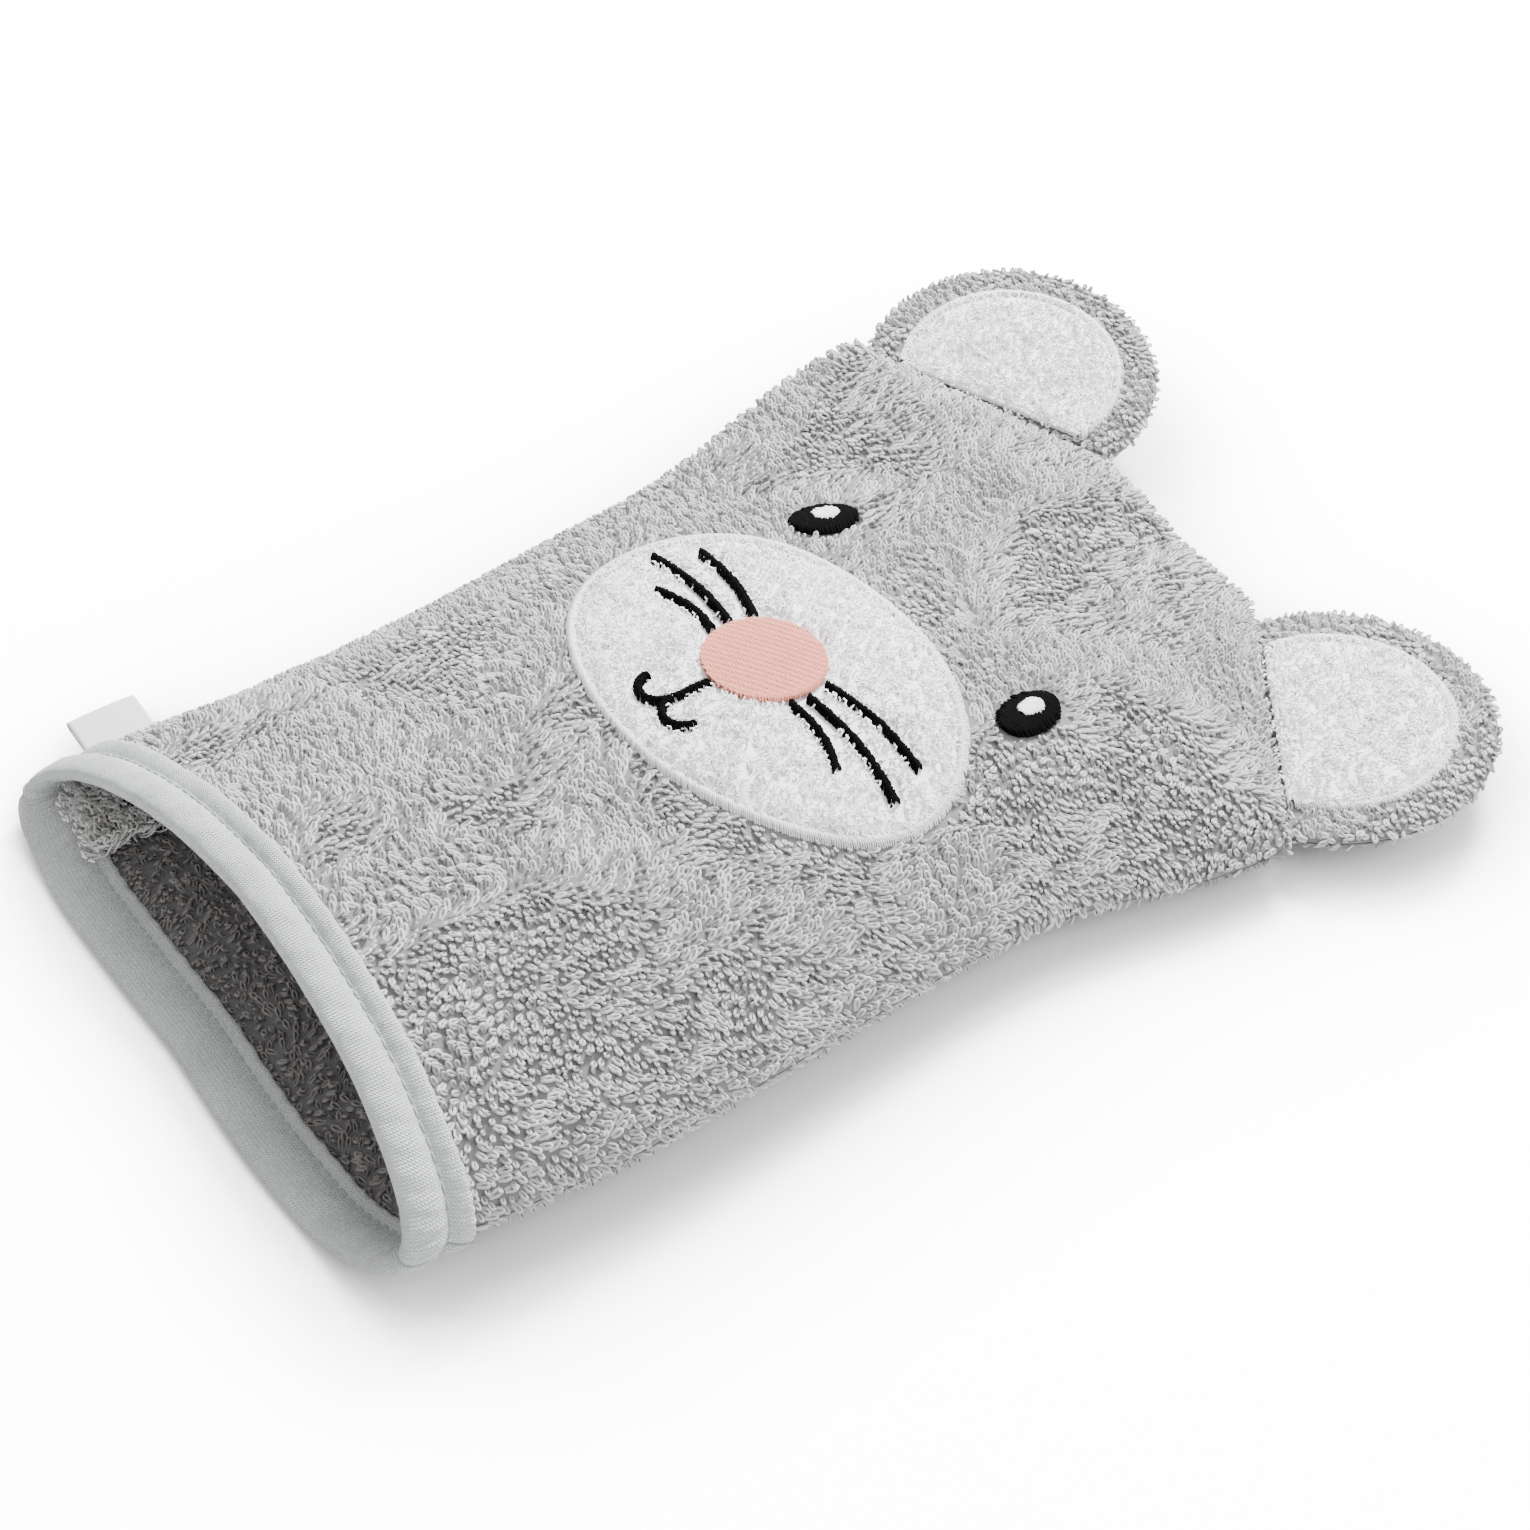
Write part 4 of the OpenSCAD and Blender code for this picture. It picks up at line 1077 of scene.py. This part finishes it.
def cut_circle(radius, base):
    """Reach from (0, EAR_UP) to a circle that is cut off straight at y = base."""
    def reach(a):
        down = np.clip(-np.sin(a), 1e-6, None)
        return np.minimum(radius, (EAR_UP - base) / down)
    return reach


# %% Ear layers
BASE, PLUSH_BASE, EAR_TRIM = -4.5, -3.0, 1.6
for side, word in ((-1, "left"), (1, "right")):
    place, body = ear_place(side), f"ear_{word}"
    reach = cut_circle(EAR_R - EAR_TRIM, BASE)
    start, end = (tuple((place(np.array(0.0), np.array(v), np.array(0.0)) * MM).tolist())
                  for v in (-1.5, 7.0))

    def flop(obj):
        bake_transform(obj)

    for layer, sign in (("front", 1), ("back", -1)):
        def outside(t, x, y):
            base = np.clip((y - BASE) / 7, 0, 1)
            body_h = 0.35 + (1.1 + 0.15 * lumps(x, y, 6.0)) * dome(t, 7)
            return sign * (0.3 + body_h * (0.35 + 0.65 * base))

        def between(t, x, y):
            return sign * (0.25 + 0.2 * dome(t, 7))

        pad, pts = round_pad(f"ear_{word}_{layer}_cloth", (0, EAR_UP), reach, outside, between, place,
                             ground_shade_grey, rings=24, segs=140)
        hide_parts(f"ear_{word}_{layer}")
        flop(pad)
        t, a = np.meshgrid(np.linspace(0, 1, 60)[1:], np.arange(200) / 200 * 2 * math.pi, indexing="ij")
        r = t * reach(a)
        x, y = r * np.cos(a), EAR_UP + r * np.sin(a)
        z = outside(t, x, y)
        wall = np.stack([x[-1:], y[-1:], sign * 0.3 + 0 * x[-1:]])
        x, y, z = (np.vstack([v, w]) for v, w in zip((x, y, z), wall))
        surf = piece(f"ear_{word}_{layer}_loops", place(x, y, z).reshape(-1, 3),
                     grid_faces(*x.shape, loop_cols=True, flip=False), None)
        pile = np.ones(x.size)
        if sign > 0:
            over = (np.hypot(x, y - EAR_UP) < EAR_R - RIM + BORDER_W) & (y > -3.4)
            pile[over.ravel()] = 0
        set_pile(surf, pile)
        if surf.data.polygons[200 * 20].normal.z * sign < 0:
            surf.data.flip_normals()
        grown(surf, LOOPS, loop_grey, Spacing=FRONT_GAP if sign > 0 else EAR_BACK_GAP, Height=0.0016,
              Width=0.00038, Radius=0.00033, Lean_Low=0.55, Lean_High=1.35, Sides=4 if sign > 0 else 3,
              Bends=5, Seed=40 + side)
        flop(surf)

    radius = EAR_R - RIM

    def plush_top(t, x, y):
        return 1.9 + (0.8 + 0.34 * lumps(x, y, 3.6)) * dome(t, 8)

    plush, pts = round_pad(f"ear_{word}_plush_pad", (0, EAR_UP), cut_circle(radius, PLUSH_BASE), plush_top,
                           level_at(1.5), place, plush_ground, rings=20, segs=120)
    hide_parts(f"ear_{word}_plush")
    flop(plush)
    fur = upper_skin(f"ear_{word}_plush_fibres", pts, 20, 120)
    grown(fur, FIBRES, plush_white, **HAIR, Seed=6 + side)
    flop(fur)
    edge = radius + BORDER_W / 2
    a0 = math.asin((-2.6 - EAR_UP) / edge)
    a = np.linspace(a0, math.pi - a0, 160)
    arc = np.stack([edge * np.cos(a), EAR_UP + edge * np.sin(a)], 1)
    base_line = np.stack([np.linspace(arc[-1, 0], arc[0, 0], 30), np.full(30, PLUSH_BASE)], 1)
    lines = satin(arc, BORDER_W, BORDER_PITCH, rng, 1.4, 2.6, slant=1.4, ragged=0.25)
    lines += satin(base_line, BORDER_W * 0.7, 0.46, rng, 1.6, 2.4, slant=1.2)
    satin_edge = stitched(f"ear_{word}_satin", [place(*np.asarray(line, float).T) for line in lines],
                          thread_white, BORDER_THREAD, sides=4)
    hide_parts(f"ear_{word}_border")
    flop(satin_edge)

# %% [markdown]
# ## Sheets of cloth
# The two panels are flat cloth cut to the mitt's outline. The flat sizes are an estimate of that cut, so
# they allow only a rough check of the model's area.

# %% [markdown]
# ## Table, light and camera
# Large soft lights show the pile without hard shadows. Table and sky glow for the camera alone, so both
# look white while the mitt is lit as before. A nearness node dims the table's glow close to the mitt,
# which paints a soft contact shadow there. The camera looks along the mitt's diagonal from the right of its
# cuff.

# %% Stage
CAMERA_WHITE, SHADOW_REACH, SHADOW_POWER = 12.0, 0.06, 6.0
TABLE_HALF, TABLE_Z = 4000, -0.2
table_corners = [(u * TABLE_HALF, v * TABLE_HALF, TABLE_Z) for u, v in ((-1, -1), (1, -1), (1, 1), (-1, 1))]
floor = piece("floor", table_corners, [(0, 1, 2, 3)], None, smooth=False)
table = bpy.data.materials.new("table_white")
table.use_nodes = True
table_bsdf = table.node_tree.nodes["Principled BSDF"]
table_bsdf.inputs["Base Color"].default_value = (0.90, 0.90, 0.90, 1)
table_bsdf.inputs["Roughness"].default_value = 0.9
seen = add(table.node_tree, "ShaderNodeLightPath")
# Painted shadow: the nearness node darkens the table's glow close to the mitt.
nearby = add(table.node_tree, "ShaderNodeAmbientOcclusion", {"Distance": SHADOW_REACH}, samples=8)
painted_contact_shadow = calc(table.node_tree, "POWER", nearby.outputs["AO"], SHADOW_POWER)
glow = calc(table.node_tree, "MULTIPLY", painted_contact_shadow, seen.outputs["Is Camera Ray"])
table.node_tree.links.new(glow, table_bsdf.inputs["Emission Color"])
table_bsdf.inputs["Emission Strength"].default_value = CAMERA_WHITE
floor.data.materials.append(table)

world = bpy.data.worlds.new("studio")
bpy.context.scene.world = world
world.use_nodes = True
sky = world.node_tree
lit = sky.nodes["Background"]
lit.inputs["Color"].default_value, lit.inputs["Strength"].default_value = (1, 1, 1, 1), 0.85
shown = add(sky, "ShaderNodeBackground", {"Color": (1, 1, 1, 1), "Strength": CAMERA_WHITE})
ray = add(sky, "ShaderNodeLightPath")
either = add(sky, "ShaderNodeMixShader", {
    0: ray.outputs["Is Camera Ray"], 1: lit.outputs[0], 2: shown.outputs[0]})
sky.links.new(either.outputs[0], sky.nodes["World Output"].inputs["Surface"])


def soft_light(name, place, size, power, aim=(0, 0, 0)):
    data = bpy.data.lights.new(name, "AREA")
    data.shape, data.size, data.energy = "DISK", size, power
    obj = bpy.data.objects.new(name, data)
    obj.location = place
    obj.rotation_euler = (Vector(aim) - Vector(place)).to_track_quat("-Z", "Y").to_euler()
    bpy.context.scene.collection.objects.link(obj)


soft_light("key", (-0.45, 0.75, 0.85), 0.40, 58)
soft_light("fill", (0.8, 0.3, 0.9), 0.8, 10)

# %% Camera
AZ, EL, DIST = math.radians(56), math.radians(45), 0.5395
TARGET = Vector((0.0113, -0.0014, 0.0166))
eye_at = TARGET + DIST * Vector((math.sin(AZ) * math.cos(EL), -math.cos(AZ) * math.cos(EL), math.sin(EL)))
cam_data = bpy.data.cameras.new("camera")
cam_data.lens, cam_data.sensor_width = 59.6, 36.0
cam_data.clip_start, cam_data.clip_end = 0.01, 20
cam = bpy.data.objects.new("camera", cam_data)
cam.location = eye_at
cam.rotation_euler = (TARGET - eye_at).to_track_quat("-Z", "Y").to_euler()
bpy.context.scene.collection.objects.link(cam)
bpy.context.scene.camera = cam
